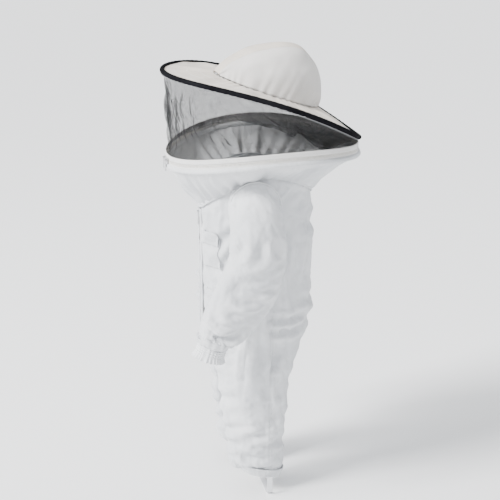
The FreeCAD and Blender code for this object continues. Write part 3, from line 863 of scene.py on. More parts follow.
def thicken(thing, thickness, offset=-1.0):
    modifier = thing.modifiers.new("thickness", "SOLIDIFY")
    modifier.thickness = thickness
    modifier.offset = offset
    freeze(thing)


# ---- sheets and tubes drawn from their real measures ---------------------------------------------
HOOP = dict(radius=0.210, saddle=0.028, pitch=2.5, centre=(0.0, 0.0105, 0.772))
BRIM = dict(radius=0.225, saddle=0.032, pitch=-19.6, centre=(0.0, 0.007, 0.8885))
CASING_R = 0.0055
BINDING_R = 0.0052
SIDE_SEAM = math.radians(96)


def tilted(x, y, z, ring):
    """A point of a ring's own frame, pitched about X and set at its centre."""
    a = math.radians(ring["pitch"])
    cx, cy, cz = ring["centre"]
    return at(cx + x, cy + y * math.cos(a) - z * math.sin(a), cz + y * math.sin(a) + z * math.cos(a))


def ring_point(ring, angle, out=0.0, up=0.0):
    """Point of a saddle-shaped hoop. Angle 0 is the front and it grows to the wearer's left."""
    r = ring["radius"] + out
    return tilted(r * math.sin(angle), -r * math.cos(angle),
                  ring["saddle"] * math.sin(angle) ** 2 + up, ring)


def ripple(angle, count, seed):
    """Uneven gathers round a ring, from about -1 to 1."""
    drift = noise.noise(Vector((math.sin(angle) * 2.1, math.cos(angle) * 2.1, seed * 3.7)))
    depth = 0.65 + 0.35 * noise.noise(Vector((math.sin(angle) * 6, math.cos(angle) * 6, seed)))
    return math.cos(count * angle + 5.0 * drift) * depth


def grid_piece(name, place, us, vs, outwards, closed=False):
    """Sheet from place(u, v), with the distances along the cloth as its flat coordinates."""
    points = [[Vector(place(u, v)) for v in vs] for u in us]
    bm = bmesh.new()
    layer = bm.loops.layers.uv.new("flat")
    made = [[bm.verts.new(p) for p in row] for row in points]
    middle = len(vs) // 2
    along = [0.0]
    for a, b in zip(points, points[1:] + points[:1]):
        along.append(along[-1] + (b[middle] - a[middle]).length)
    count = len(us)
    for i in range(count if closed else count - 1):
        rows = (i, (i + 1) % count)
        across = [0.0]
        for a, b in zip(points[i], points[i][1:]):
            across.append(across[-1] + (b - a).length)
        for j in range(len(vs) - 1):
            corners = (made[rows[0]][j], made[rows[1]][j], made[rows[1]][j + 1], made[rows[0]][j + 1])
            flats = ((along[i], across[j]), (along[i + 1], across[j]),
                     (along[i + 1], across[j + 1]), (along[i], across[j + 1]))
            face = bm.faces.new(corners)
            face.smooth = True
            for loop, flat in zip(face.loops, flats):
                loop[layer].uv = flat
    bm.normal_update()
    wrong = sum(1 if f.normal.dot(f.calc_center_median() - outwards) > 0 else -1 for f in bm.faces)
    if wrong < 0:
        bmesh.ops.reverse_faces(bm, faces=bm.faces)
    mesh = bpy.data.meshes.new(name)
    bm.to_mesh(mesh)
    bm.free()
    thing = bpy.data.objects.new(name, mesh)
    bpy.context.scene.collection.objects.link(thing)
    return thing


def tube_piece(name, path, radius, sides, closed=True, squash=1.0):
    """Round tube along a ring of points. radius(i, turn) gives its radius."""
    count = len(path)
    frames = []
    for i, p in enumerate(path):
        ahead = (path[(i + 1) % count] - path[i - 1]).normalized()
        out = Vector((p.x, p.y, 0)).normalized()
        out = (out - ahead * out.dot(ahead)).normalized()
        frames.append((p, out, out.cross(ahead)))

    def place(i, turn):
        p, out, up = frames[i]
        r = radius(i, turn)
        return p + out * r * math.cos(turn) * squash + up * r * math.sin(turn)
    turns = [2 * math.pi * k / sides for k in range(sides + 1)]
    made = grid_piece(name, place, range(count), turns, Vector((0, 0, 5)), closed)
    bm = bmesh.new()
    bm.from_mesh(made.data)
    bmesh.ops.remove_doubles(bm, verts=bm.verts, dist=0.00001)
    bmesh.ops.recalc_face_normals(bm, faces=bm.faces)
    bm.to_mesh(made.data)
    bm.free()
    return made


STITCH_LENGTH = 0.0026
STITCH_GAP = 0.0010
THREAD_R = 0.00034


class Stitching:
    """Rows of raised stitches that end up in one piece."""

    def __init__(self):
        self.points = []
        self.faces = []

    def add(self, path, outwards, closed=False):
        """Stitches along a path; outwards(p) points away from the cloth."""
        if closed:
            path = list(path) + [path[0]]
        lengths = [(b - a).length for a, b in zip(path, path[1:])]
        total = sum(lengths)
        if total < 2 * STITCH_LENGTH:
            return
        marks = np.concatenate(([0], np.cumsum(lengths)))
        flat = np.array([list(p) for p in path])
        start = 0.0
        while start + STITCH_LENGTH < total:
            ends = [Vector([np.interp(s, marks, flat[:, k]) for k in range(3)])
                    for s in (start, start + STITCH_LENGTH)]
            self.bar(*ends, outwards(ends[0]))
            start += STITCH_LENGTH + STITCH_GAP

    def bar(self, a, b, out):
        along = (b - a).normalized()
        side = along.cross(out).normalized()
        up = side.cross(along)
        base = len(self.points)
        for share, size in ((0, 0.35), (0.2, 1.0), (0.8, 1.0), (1, 0.35)):
            middle = a.lerp(b, share) + up * (0.00015 if size > 0.5 else -0.0003)
            for turn in range(5):
                w = 2 * math.pi * turn / 5
                self.points.append(middle + side * THREAD_R * size * math.cos(w)
                                   + up * THREAD_R * size * math.sin(w))
        for ring in range(3):
            for turn in range(5):
                low = base + ring * 5
                following = (turn + 1) % 5
                self.faces.append((low + turn, low + following, low + 5 + following, low + 5 + turn))
        self.faces.append(tuple(base + k for k in range(4, -1, -1)))
        self.faces.append(tuple(base + 15 + k for k in range(5)))

    def piece(self, name, material):
        mesh = bpy.data.meshes.new(name)
        mesh.from_pydata([tuple(p) for p in self.points], [], self.faces)
        mesh.polygons.foreach_set("use_smooth", [True] * len(self.faces))
        mesh.materials.append(material)
        thing = bpy.data.objects.new(name, mesh)
        bpy.context.scene.collection.objects.link(thing)
        return thing


def away_from(axis_x, axis_y):
    """Outward direction, level, from an upright axis."""
    return lambda p: Vector((p.x - axis_x, p.y - axis_y, 0.0)).normalized()


def full_turn(count, start=0.0):
    return [start + 2 * math.pi * i / count for i in range(count)]


def spread(low, high, count):
    return [low + (high - low) * i / (count - 1) for i in range(count)]


def dress(thing, material):
    thing.data.materials.clear()
    thing.data.materials.append(material)
    return thing


# ---- neck yoke, collar and its zip ---------------------------------------------------------------
def neck_point(angle, inset=0.0, drop=0.0):
    height = neck_height(angle) - drop
    sizes = [eased(BODY_ROWS, height, c) - inset for c in (1, 2, 3)]
    x, y = rounded(angle, *sizes, 2.6)
    return at(x, BODY_MIDDLE_Y + y, height)


def yoke_point(angle, share):
    """Cloth gathered at the neck seam, drawn out to the collar casing."""
    low = neck_point(angle, 0.0015, 0.004)
    high = ring_point(HOOP, angle, -0.001, -CASING_R + 0.001)
    p = low.lerp(high, share)
    outwards = Vector((math.sin(angle), -math.cos(angle), -0.7)).normalized()
    back = max(0.0, -math.cos(angle)) ** 2
    side = abs(math.sin(angle)) ** 3
    belly = math.sin(math.pi * share)
    sag = -0.010 * back * belly + 0.006 * side * belly
    wave = 0.0050 * ripple(angle, 38, 2) * (1 - share) ** 0.8 * min(1, share * 8)
    wave += 0.0058 * ripple(angle, 15, 5) * belly
    wave += 0.0011 * ripple(angle, 70, 8) * share ** 2
    tuck = 0.009 * noise.noise(Vector((p.x * 14, p.y * 14, p.z * 20)))
    return p + outwards * (sag + wave + tuck * belly)


def make_yoke(cotton, thread):
    rows = Stitching()
    outwards = at(0, 0, 0.80)
    for name, first, last in (("front", -SIDE_SEAM, SIDE_SEAM),
                              ("back", SIDE_SEAM, 2 * math.pi - SIDE_SEAM)):
        sheet = grid_piece("yoke_%s_cloth" % name, yoke_point, spread(first, last, 330),
                           spread(0, 1, 26), outwards)
        thicken(sheet, 0.0012)
        dress(sheet, cotton)
        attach(sheet, "suit")
        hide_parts("yoke_" + name)
    for share in (0.90, 0.96):
        path = [yoke_point(a, share) for a in full_turn(420)]
        rows.add(path, lambda p: Vector((p.x, p.y, -0.1)).normalized(), True)
    for edge in (0.006, -0.006):
        for side in (SIDE_SEAM, -SIDE_SEAM):
            path = [yoke_point(side + edge / 0.16, s) for s in spread(0.05, 0.95, 40)]
            rows.add(path, lambda p: Vector((p.x, p.y, -0.1)).normalized())
    band = grid_piece("neck_band", neck_band_point, full_turn(400), spread(-1, 1, 7),
                      at(0, 0, 0.70), True)
    thicken(band, 0.0010, 1.0)
    dress(band, cotton)
    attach(band, "suit")
    for share in (-0.6, 0.6):
        path = [neck_band_point(a, share) + away_from(0, 0)(neck_band_point(a, share)) * 0.0012
                for a in full_turn(420)]
        rows.add(path, away_from(0, 0), True)
    made = rows.piece("stitches_yoke", thread)
    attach(made, "suit")


def neck_band_point(angle, across):
    """Narrow tape that covers the neck seam."""
    p = neck_point(angle, -0.0016 - 0.0006 * ripple(angle, 60, 3), -0.0045 * across)
    p.z += 0.0012 * ripple(angle, 9, 6)
    return p + away_from(0, 0)(p) * (0.0012 * (1 - across * across) + 0.0022 * max(across, 0))


def make_collar(cotton, tape, thread):
    path = [ring_point(HOOP, a) for a in full_turn(480)]
    angles = full_turn(480)

    def radius(i, turn):
        pleat = 0.0005 * ripple(angles[i], 120, 4) + 0.0003 * ripple(angles[i], 31, 9)
        return CASING_R + pleat
    casing = tube_piece("collar_casing_cloth", path, radius, 14)
    dress(casing, cotton)
    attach(casing, "suit")
    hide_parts("collar_casing", "collar_hoop")

    rows = Stitching()
    for out, up in ((CASING_R * 0.95, -0.0025), (CASING_R * 0.55, -0.0047)):
        rows.add([ring_point(HOOP, a, out, up) for a in full_turn(420)], away_from(0, 0), True)
    for name, low, high, body in (("lower", CASING_R - 0.0010, CASING_R + 0.0034, "suit"),
                                  ("upper", CASING_R + 0.0089, CASING_R + 0.0200, "hood")):
        def place(angle, up):
            return ring_point(HOOP, angle, 0.0008 + 0.0004 * ripple(angle, 40, 1), up)
        band = grid_piece("zip_band_" + name, place, full_turn(400), spread(low, high, 5),
                          at(0, 0, 0.78), True)
        thicken(band, 0.0009)
        dress(band, tape)
        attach(band, body)
        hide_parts(name + "_zip_tape")
    made = rows.piece("stitches_collar", thread)
    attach(made, "suit")
    rows = Stitching()
    for up in (0.0125, 0.0178):
        rows.add([ring_point(HOOP, a, 0.0012, CASING_R + up) for a in full_turn(420)],
                 away_from(0, 0), True)
    made = rows.piece("stitches_veil_band", thread)
    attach(made, "hood")


# ---- cuffs, hems, pockets and the front strips ---------------------------------------------------
def cuff_point(side, turn, along):
    """Elastic cuff with a short frill below it: along is metres out of the sleeve."""
    towards = Vector((0, CUFF_AXIS.z, -CUFF_AXIS.y))
    half = CUFF_LENGTH / 2
    frill = max(0.0, along - half) / 0.012
    pinch = 0.0012 * math.cos(2 * math.pi * along / 0.0055) if abs(along) < half else 0.0
    gather = (0.0011 + 0.0022 * frill) * ripple(turn, 26, 3 + side)
    r = CUFF_R + 0.0022 + pinch + gather + 0.0055 * frill ** 0.8
    middle = Vector(CUFF_MIDDLE) + CUFF_AXIS * along
    p = middle + Vector((1, 0, 0)) * r * math.sin(turn) + towards * r * math.cos(turn)
    return on_arm(side, p)


def make_cuff(side, name, cotton, thread):
    half = CUFF_LENGTH / 2
    centre = on_arm(side, CUFF_MIDDLE)
    cuff = grid_piece("cuff_%s_cloth" % name, lambda u, v: cuff_point(side, u, v), full_turn(220),
                      spread(-half - 0.003, half + 0.010, 34), centre, True)
    thicken(cuff, 0.0016)
    dress(cuff, cotton)
    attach(cuff, "arm_" + name)
    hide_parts("cuff_" + name)
    rows = Stitching()
    for along in (-0.0055, 0.0, 0.0055):
        rows.add([cuff_point(side, t, along) for t in full_turn(200)],
                 lambda p: (p - centre).normalized(), True)
    made = rows.piece("stitches_cuff_" + name, thread)
    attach(made, "arm_" + name)


def hem_point(side, turn, share):
    front_z, back_z, front, back, x, half = [
        a + (b - a) * share for a, b in zip((0.073, 0.050, -0.0665, 0.0455, 0.0735, 0.0418),
                                            (0.053, 0.029, -0.0560, 0.0370, 0.0740, 0.0372))]
    reach = (back - front) / 2
    r = 1 + 0.016 * ripple(turn, 9, 5 + side) * (1 - share) + 0.010 * ripple(turn, 23, side)
    dx, dy = rounded(turn, half * r, reach * r, reach * r, 2.3)
    y = (front + back) / 2 + dy
    z = front_z + (back_z - front_z) * (dy + reach) / (2 * reach)
    return at(side * (x + dx), y, z)


def make_hem(side, name, cotton, thread):
    centre = at(side * 0.074, -0.01, 0.05)
    hem = grid_piece("hem_%s_cloth" % name, lambda u, v: hem_point(side, u, v), full_turn(200),
                     spread(0, 1, 12), centre, True)
    thicken(hem, 0.0022)
    dress(hem, cotton)
    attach(hem, "leg_" + name)
    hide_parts("hem_" + name)
    rows = Stitching()
    for share in (0.12, 0.88):
        rows.add([hem_point(side, t, share) for t in full_turn(200)],
                 away_from(side * 0.074, -0.01), True)
    made = rows.piece("stitches_hem_" + name, thread)
    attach(made, "leg_" + name)


def patch(name, tree, corners, lift, puff, cloth, body, node, thread, flat, roll=0.0):
    """Sheet sewn on the front: corners are (left, height) lows and highs, thrown onto the cloth."""
    (x0, z0), (x1, z1) = corners

    def on_cloth(u, v):
        x, z = x0 + (x1 - x0) * u, z0 + (z1 - z0) * v
        hit = tree.ray_cast(at(x, -0.4, z), Vector((0, 1, 0)))
        y = min(max(hit[0].y, -0.136), -0.100) if hit[0] is not None else -0.120
        edge = min(u, 1 - u, v, 1 - v)
        rise = lift + puff * (1 - math.exp(-edge * 9))
        return at(x, y - rise - roll * (1 - v), z)
    sheet = grid_piece(name, on_cloth, spread(0, 1, 34), spread(0, 1, 34), at(x0, 0.1, z0))
    ease = sheet.modifiers.new("ease", "SMOOTH")
    ease.iterations = 12
    freeze(sheet)
    thicken(sheet, 0.0013, 1.0)
    dress(sheet, cloth)
    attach(sheet, body)
    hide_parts(node)
    rows = Stitching()
    margin_u, margin_v = 0.004 / abs(x1 - x0), 0.004 / (z1 - z0)
    inner = [(margin_u, margin_v), (1 - margin_u, margin_v), (1 - margin_u, 1 - margin_v),
             (margin_u, 1 - margin_v)]
    for a, b in zip(inner, inner[1:] + inner[:1]):
        path = []
        for t in spread(0, 1, 30):
            p = on_cloth(a[0] + (b[0] - a[0]) * t, a[1] + (b[1] - a[1]) * t)
            path.append(p + Vector((0, -0.0018, 0)))
        rows.add(path, lambda p: Vector((0, -1, 0)))
    made = rows.piece(name + "_stitches", thread)
    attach(made, body)


def make_pockets(tree, cotton, thread):
    patch("chest_pocket_cloth", tree, ((0.034, 0.540), (0.084, 0.612)), 0.0008, 0.0016, cotton,
          "suit", "chest_pocket", thread, (0.054, 0.080))
    patch("pocket_flap_cloth", tree, ((0.032, 0.594), (0.086, 0.624)), 0.0040, 0.0016, cotton,
          "pocket_flap", "pocket_flap", thread, (0.054, 0.032), 0.002)
    for side, name in ((1, "left"), (-1, "right")):
        patch("hip_pocket_%s_cloth" % name, tree, ((side * 0.034, 0.405), (side * 0.086, 0.490)),
              0.0008, 0.0018, cotton, "suit", "hip_pocket_" + name, thread, (0.056, 0.090))


def make_zip_strips(cotton, thread):
    """Folded edges of the front panels, one each side of the zip."""
    front = -0.1312
    for side, name in ((1, "left"), (-1, "right")):
        def place(u, v):
            height = 0.366 + 0.297 * v
            puff = 0.0014 * math.sin(math.pi * u)
            wave = 0.0012 * noise.noise(Vector((side * 3, u, height * 38)))
            x = 0.0064 + (0.0200 - 0.0064) * u + 0.0006 * noise.noise(Vector((side, 0, height * 60)))
            lean = 0.004 * max(0.0, u - 0.7)
            return at(side * x, front - puff - wave + lean, height)
        strip = grid_piece("zip_strip_" + name, place, spread(0, 1, 10), spread(0, 1, 120),
                           at(0, 0.1, 0.5))
        thicken(strip, 0.0014)
        dress(strip, cotton)
        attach(strip, "suit")
        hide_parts("zip_guard_" + name)
        rows = Stitching()
        for u in (0.30, 0.84):
            rows.add([place(u, v) + Vector((0, -0.0003, 0)) for v in spread(0.01, 0.99, 90)],
                     lambda p: Vector((0, -1, 0)))
        made = rows.piece("stitches_zip_" + name, thread)
        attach(made, "suit")


# ---- hat ----------------------------------------------------------------------------------------
CROWN_LENGTH = 0.236
CROWN_WIDTH = 0.184
CROWN_BASE = 0.030
STRIP_HALF = 0.040
# crown's profile along its middle in the hat's own frame: (distance back, height)
CROWN_PROFILE = [(-0.117, 0.032), (-0.106, 0.058), (-0.086, 0.082), (-0.058, 0.106),
                 (-0.004, 0.134), (0.036, 0.141), (0.068, 0.126), (0.090, 0.107),
                 (0.104, 0.082), (0.114, 0.055), (0.117, 0.032)]
PROFILE_CURVE = catmull([(0, y, z) for y, z in CROWN_PROFILE], 201)


def profile_point(share):
    return PROFILE_CURVE[int(round(share * 200))]


def crown_edge(share, side):
    p = profile_point(share)
    half = STRIP_HALF * (0.72 + 0.28 * math.sin(math.pi * share))
    return Vector((side * half, p.y * 0.985, p.z - 0.005 * math.sin(math.pi * share)))


def soften(p, depth):
    """Slumps a point of the crown a little, as limp cloth does."""
    lean = noise.noise(p * 13.0 + Vector((2, 0, 5)))
    fine = noise.noise(p * 34.0 + Vector((7, 3, 1)))
    away = Vector((p.x, p.y * 0.6, 0.05)).normalized()
    return p + away * depth * (lean + 0.45 * fine)


def strip_point(share, across):
    edge = crown_edge(share, across)
    mid = profile_point(share)
    bow = 1 - across * across
    p = Vector((edge.x, edge.y + (mid.y - edge.y) * bow, edge.z + (mid.z - edge.z) * bow))
    p.z += 0.0024 - 0.0012 * math.exp(-((1 - abs(across)) / 0.10) ** 2)
    p = soften(p, 0.0028)
    return tilted(p.x, p.y, p.z, BRIM)


def flank_point(side, share, down):
    edge = crown_edge(share, 1.0)
    turn = math.radians(18) + math.radians(144) * share
    low = Vector((CROWN_WIDTH / 2 * math.sin(turn), -CROWN_LENGTH / 2 * math.cos(turn), CROWN_BASE))
    q = math.pi / 2 * down
    p = Vector((edge.x + (low.x - edge.x) * math.sin(q), edge.y + (low.y - edge.y) * down,
                edge.z + (low.z - edge.z) * (1 - math.cos(q))))
    gathers = 0.0016 * ripple(turn, 34, 4) * down ** 3
    slump = 0.0030 * math.sin(math.pi * down) * noise.noise(Vector((share * 7, down * 3, side * 4)))
    p += Vector((p.x, p.y * 0.5, 0)).normalized() * (gathers + slump)
    p = soften(Vector((side * p.x, p.y, p.z + 0.0024)), 0.0028)
    return tilted(p.x, p.y, p.z, BRIM)


def brim_point(angle, share, up=0.0):
    """Brim cloth, limp between the crown and its wired edge."""
    inner = Vector((CROWN_WIDTH / 2 * 1.01 * math.sin(angle),
                    -CROWN_LENGTH / 2 * 1.01 * math.cos(angle), CROWN_BASE))
    edge = BRIM["radius"] - 0.003
    outer = Vector((edge * math.sin(angle), -edge * math.cos(angle),
                    BRIM["saddle"] * math.sin(angle) ** 2))
    p = inner.lerp(outer, share)
    belly = math.sin(math.pi * share)
    p.z += up + belly * (0.0040 * ripple(angle, 5, 3) + 0.0022 * ripple(angle, 13, 7))
    p.z += 0.0012 * ripple(angle, 44, 2) * (1 - share) ** 2
    p.z += 0.0016 * noise.noise(Vector((p.x * 22, p.y * 22, 3)))
    return tilted(p.x, p.y, p.z, BRIM)


def make_hat(cotton, lining, black, grey, towel, thread):
    def upright(_):
        return tilted(0, 0, 1, BRIM) - tilted(0, 0, 0, BRIM)

    middle = tilted(0, 0, 0.02, BRIM)
    rows = Stitching()
    sheets = []
    strip = grid_piece("crown_strip", strip_point, spread(0, 1, 90), spread(-1, 1, 30), middle)
    sheets.append((strip, "crown_centre", (0.085, 0.40), "stretched", cotton))
    for side, name in ((1, "left"), (-1, "right")):
        flank = grid_piece("crown_flank_" + name, lambda u, v: flank_point(side, u, v),
                           spread(0, 1, 130), spread(0.01, 1, 34), middle)
        sheets.append((flank, "crown_side_" + name, (0.26, 0.11), "stretched", lining))
        rows.add([strip_point(s, side * 0.90) for s in spread(0.02, 0.98, 160)], upright)
        rows.add([flank_point(side, s, 0.075) for s in spread(0.02, 0.98, 160)], upright)
        rows.add([flank_point(side, s, 0.965) for s in spread(0.02, 0.98, 160)],
                 lambda p: (p - middle).normalized())
    for name, up, node in (("brim_upper", 0.0014, "brim_top"), ("brim_lower", -0.0006, "brim_under")):
        sheet = grid_piece(name, lambda a, s: brim_point(a, s, up), full_turn(300),
                           spread(0, 1, 30), middle + Vector((0, 0, -1 if up > 0 else 1)), True)
        sheets.append((sheet, node, (0.46, 0.46), "stretched", cotton))
    for sheet, node, flat, held, material in sheets:
        thicken(sheet, 0.0009)
        dress(sheet, material)
        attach(sheet, "hat")
        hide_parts(node)
    for share in (0.05, 0.30, 0.55, 0.80, 0.93):
        rows.add([brim_point(a, share, 0.0016) for a in full_turn(420)], upright, True)
    made = rows.piece("stitches_hat", thread)
    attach(made, "hat")

    count = 520
    angles = full_turn(count)
    path = [ring_point(BRIM, a) for a in angles]
    binding = tube_piece("hat_binding", path,
                         lambda i, turn: BINDING_R + 0.0004 * ripple(angles[i], 90, 2), 14)
    dress(binding, black)
    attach(binding, "hat")
    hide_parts("brim_binding", "brim_hoop")
    piping_path = [ring_point(BRIM, a, 0.0005, -BINDING_R - 0.0010) for a in angles]
    piping = tube_piece("veil_piping", piping_path, lambda i, turn: 0.0008, 8)
    dress(piping, grey)
    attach(piping, "hat")
    rows = Stitching()
    rows.add([ring_point(BRIM, a, -0.0020, BINDING_R * 0.98) for a in full_turn(420)], upright, True)
    made = rows.piece("stitches_binding", black)
    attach(made, "hat")

    def band_point(angle, up):
        inset = 0.0062 + 0.0006 * ripple(angle, 30, 2)
        return tilted((CROWN_WIDTH / 2 - inset) * math.sin(angle),
                      -(CROWN_LENGTH / 2 - inset) * math.cos(angle), CROWN_BASE + up, BRIM)
    band = grid_piece("sweatband_cloth", band_point, full_turn(220), spread(-0.018, 0.0, 9),
                      middle, True)
    thicken(band, 0.0014)
    dress(band, towel)
    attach(band, "hat")
    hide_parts("sweatband")


# ---- veil ---------------------------------------------------------------------------------------
VEIL_HEIGHT = 0.182         # net cut to one height all the way round
VEIL_COLUMNS = 600
VEIL_ROWS = 34


def veil_creases():
    """Sharp upright folds of the net: where each starts, how it leans, how deep and wide it is."""
    made = []
    for number in range(64):
        front = number < 44
        centre = RNG.normal(0.0, 0.75) if front else RNG.uniform(-math.pi, math.pi)
        made.append((centre, RNG.uniform(-0.35, 0.35), RNG.uniform(0.003, 0.009),
                     RNG.uniform(0.010, 0.024), RNG.uniform(0.1, 0.9)))
    return made


VEIL_CREASES = veil_creases()


def crease_depth(angle, share):
    total = 0.0
    for centre, lean, depth, width, middle in VEIL_CREASES:
        off = angle - centre - lean * (share - 0.5)
        off = (off + math.pi) % (2 * math.pi) - math.pi
        if abs(off) < 4 * width:
            reach = math.exp(-((share - middle) / 0.42) ** 2)
            total += depth * reach * math.exp(-(off / width) ** 2)
    return total


def veil_column(angle, depth):
    """Net before it settles, from hoop to hoop: spare net is pushed inwards by depth."""
    low = ring_point(HOOP, angle, 0.0, CASING_R + 0.0190)
    high = ring_point(BRIM, angle, -0.004, -BINDING_R - 0.0005)
    inwards = Vector((-math.sin(angle), math.cos(angle), 0.0))
    slack = min(depth / 0.030, 1.0)
    wave = 0.005 * ripple(angle, 11, 6) + 0.0025 * ripple(angle, 37, 3) + 0.004
    column = []
    for share in spread(0, 1, VEIL_ROWS):
        push = math.sin(math.pi * share)
        pleat = math.sin(3 * math.pi * share + 0.5 * slack * ripple(angle, 5, 2))
        fold = depth * (push + 0.38 * pleat * push ** 0.5)
        fold += crease_depth(angle, share) * push ** 0.5
        p = low.lerp(high, share) + inwards * (fold + wave * push)
        column.append(p - Vector((0, 0, 0.22 * depth * push)))
    return column


def column_length(column):
    return sum((b - a).length for a, b in zip(column, column[1:]))


def veil_columns():
    """Columns that all have the length of the net, whatever the space between the hoops."""
    columns = []
    for angle in full_turn(VEIL_COLUMNS):
        low, high = 0.0, 0.12
        for _ in range(14):
            depth = (low + high) / 2
            if column_length(veil_column(angle, depth)) < VEIL_HEIGHT:
                low = depth
            else:
                high = depth
        columns.append(veil_column(angle, low))
    return columns


def settle_net(net, frames):
    """Short simulation that lets the net hang between its two hoops."""
    pins = net.vertex_groups.new(name="pins")
    rows = VEIL_ROWS
    held = [i for i in range(len(net.data.vertices)) if i % rows in (0, rows - 1)]
    pins.add(held, 1.0, "REPLACE")
    modifier = net.modifiers.new("cloth", "CLOTH")
    rules = modifier.settings
    rules.quality = 5
    rules.mass = 0.06
    rules.tension_stiffness = 10
    rules.compression_stiffness = 6
    rules.shear_stiffness = 3
    rules.bending_stiffness = 0.08
    rules.air_damping = 4
    rules.vertex_group_mass = "pins"
    modifier.collision_settings.use_collision = False
    modifier.point_cache.frame_start = 1
    modifier.point_cache.frame_end = frames
    scene = bpy.context.scene
    scene.frame_start = 1
    scene.frame_end = frames
    for number in range(1, frames + 1):
        scene.frame_set(number)
    freeze(net)


def make_veil(net_cloth, thread):
    columns = veil_columns()
    net = grid_piece("veil_net", lambda i, j: columns[i][j], range(VEIL_COLUMNS),
                     range(VEIL_ROWS), at(0, 0, 0.84), True)
    settle_net(net, 26)
    bm = bmesh.new()
    bm.from_mesh(net.data)
    cloth = {"front": [], "back": []}
    for face in bm.faces:
        corners = [v.index // VEIL_ROWS for v in face.verts]
        step = min(corners) if max(corners) - min(corners) < 2 else VEIL_COLUMNS - 1
        angle = 2 * math.pi * (step + 0.5) / VEIL_COLUMNS
        cloth["front" if math.cos(angle) > 0 else "back"].append(face.index)
    bm.free()
    pieces = {}
    for name, keep in cloth.items():
        copy = net.copy()
        copy.data = net.data.copy()
        copy.name = "veil_" + name
        bpy.context.scene.collection.objects.link(copy)
        bm = bmesh.new()
        bm.from_mesh(copy.data)
        bm.faces.ensure_lookup_table()
        wanted = set(keep)
        bmesh.ops.delete(bm, geom=[f for f in bm.faces if f.index not in wanted], context="FACES")
        bm.to_mesh(copy.data)
        bm.free()
        dress(copy, net_cloth)
        pieces[name] = copy
    bpy.data.objects.remove(net)
    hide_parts("veil_mesh")
    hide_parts("veil_mesh")
    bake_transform(pieces["front"])
    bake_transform(pieces["back"])


# ---- coverall -----------------------------------------------------------------------------------
def gather_at(cloth, ends, reach, depth, count, seed):
    """Ripples that run into drawn-in edges, given as centre and outward axis, and fade there."""
    places = vertices(cloth)
    normals = np.empty(len(places) * 3)
    cloth.data.vertices.foreach_get("normal", normals)
    normals = normals.reshape(-1, 3)
    for side, (middle, axis) in zip((1, -1), ends):
        centre = np.array(middle)
        along = (places - centre) @ -np.array(axis)
        off = places - centre - np.outer(along, -np.array(axis))
        near = np.nonzero((along > -0.02) & (along < 3 * reach)
                          & (np.linalg.norm(off, axis=1) < 0.085)
                          & (places[:, 0] * side > 0))[0]
        for i in near:
            angle = math.atan2(off[i][0] * side, -off[i][1])
            fade = math.exp(-max(along[i], 0) / reach)
            places[i] += normals[i] * depth * fade * ripple(angle, count, seed + side)
    set_vertices(cloth, places)


def seam_paths(tree):
    """Seam lines on the draped cloth, each with a side to throw it from."""
    runs = {"left": [], "right": [], "middle": []}
    for side, name in ((1, "left"), (-1, "right")):
        for edge in (-0.0045, 0.0045):
            points = [(0, SIDE_PLANE_Y + edge, z - SOLE) for z in spread(0.066, 0.480, 20)]
            runs[name].append(thrown_line(tree, points, lambda p: Vector((side * 0.4, p.y, p.z)),
                                          Vector((-side, 0, 0))))
    for edge in (-0.0045, 0.0045):
        back = [(edge, 0, z - SOLE) for z in spread(0.372, 0.684, 16)]
        runs["middle"].append(thrown_line(tree, back, lambda p: Vector((p.x, 0.4, p.z)),
                                          Vector((0, -1, 0))))
    return runs


def make_coverall(cotton, thread):
    inner = 0.014
    form = form_mesh("form", trunk_tubes(inner) + [arm_rings(side, inner) for side in (1, -1)], 0.010)
    trunk = form_mesh("trunk", trunk_tubes(0.0), VOXEL)
    cut_openings(trunk, True)
    sleeves = [form_mesh("sleeve", [arm_rings(side, 0.0)], VOXEL) for side in (1, -1)]
    for sleeve in sleeves:
        cut_openings(sleeve, False)
        open_armhole(sleeve)
    cloth = joined("cloth", [trunk] + sleeves)
    drape(cloth, form, 24, 0.08)
    bpy.data.objects.remove(form)
    subdivide(cloth)
    folds_of_pose(cloth)
    cuffs = [(on_arm(side, CUFF_MIDDLE), arm_direction(side, CUFF_AXIS)) for side in (1, -1)]
    hems = [(at(side * 0.074, -0.010, 0.045), Vector((0, 0, -1))) for side in (1, -1)]
    gather_at(cloth, cuffs, 0.028, 0.0030, 13, 3)
    gather_at(cloth, hems, 0.030, 0.0022, 11, 6)
    crumple(cloth, 0.050, 0.0050, 1)
    crumple(cloth, 0.016, 0.0012, 2)
    tree = surface_tree(cloth)
    seams = seam_paths(tree)
    grooves = [(run, 0.0012, 0.0028) for runs in seams.values() for run in runs[:1]]
    press_folds(cloth, grooves)
    pieces = cut_coverall(cloth)
    bpy.data.objects.remove(cloth)
    for name, piece in pieces.items():
        lay_flat(piece)
        thicken(piece, COAT_THICKNESS)
        dress(piece, cotton)
    replaced = {"sleeve_left_cloth": ["sleeve_front_left", "sleeve_back_left"],
                "sleeve_right_cloth": ["sleeve_front_right", "sleeve_back_right"],
                "coat_front_left": ["front_panel_left", "leg_left"],
                "coat_front_right": ["front_panel_right", "leg_right"],
                "coat_back_left": ["back_panel", "waist_elastic", "leg_left"],
                "coat_back_right": ["back_panel", "crotch_gusset", "leg_right"]}
    flats = {"sleeve": (0.34, 0.36), "coat_front": (0.20, 0.68), "coat_back": (0.21, 0.68)}
    for name, piece in pieces.items():
        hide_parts(*replaced[name])
        side = "left" if "left" in name else "right"
        kind = next(k for k in flats if name.startswith(k))
        if kind == "sleeve":
            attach(piece, "arm_" + side)
        else:
            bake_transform(piece)
    for name, runs in seams.items():
        rows = Stitching()
        for run in runs:
            sideways = away_from(0, 0)
            rows.add([p + sideways(p) * 0.0004 for p in run], sideways)
        made = rows.piece("stitches_coat_" + name, thread)
        if name == "middle":
            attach(made, "suit")
        else:
            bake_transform(made)
    return tree


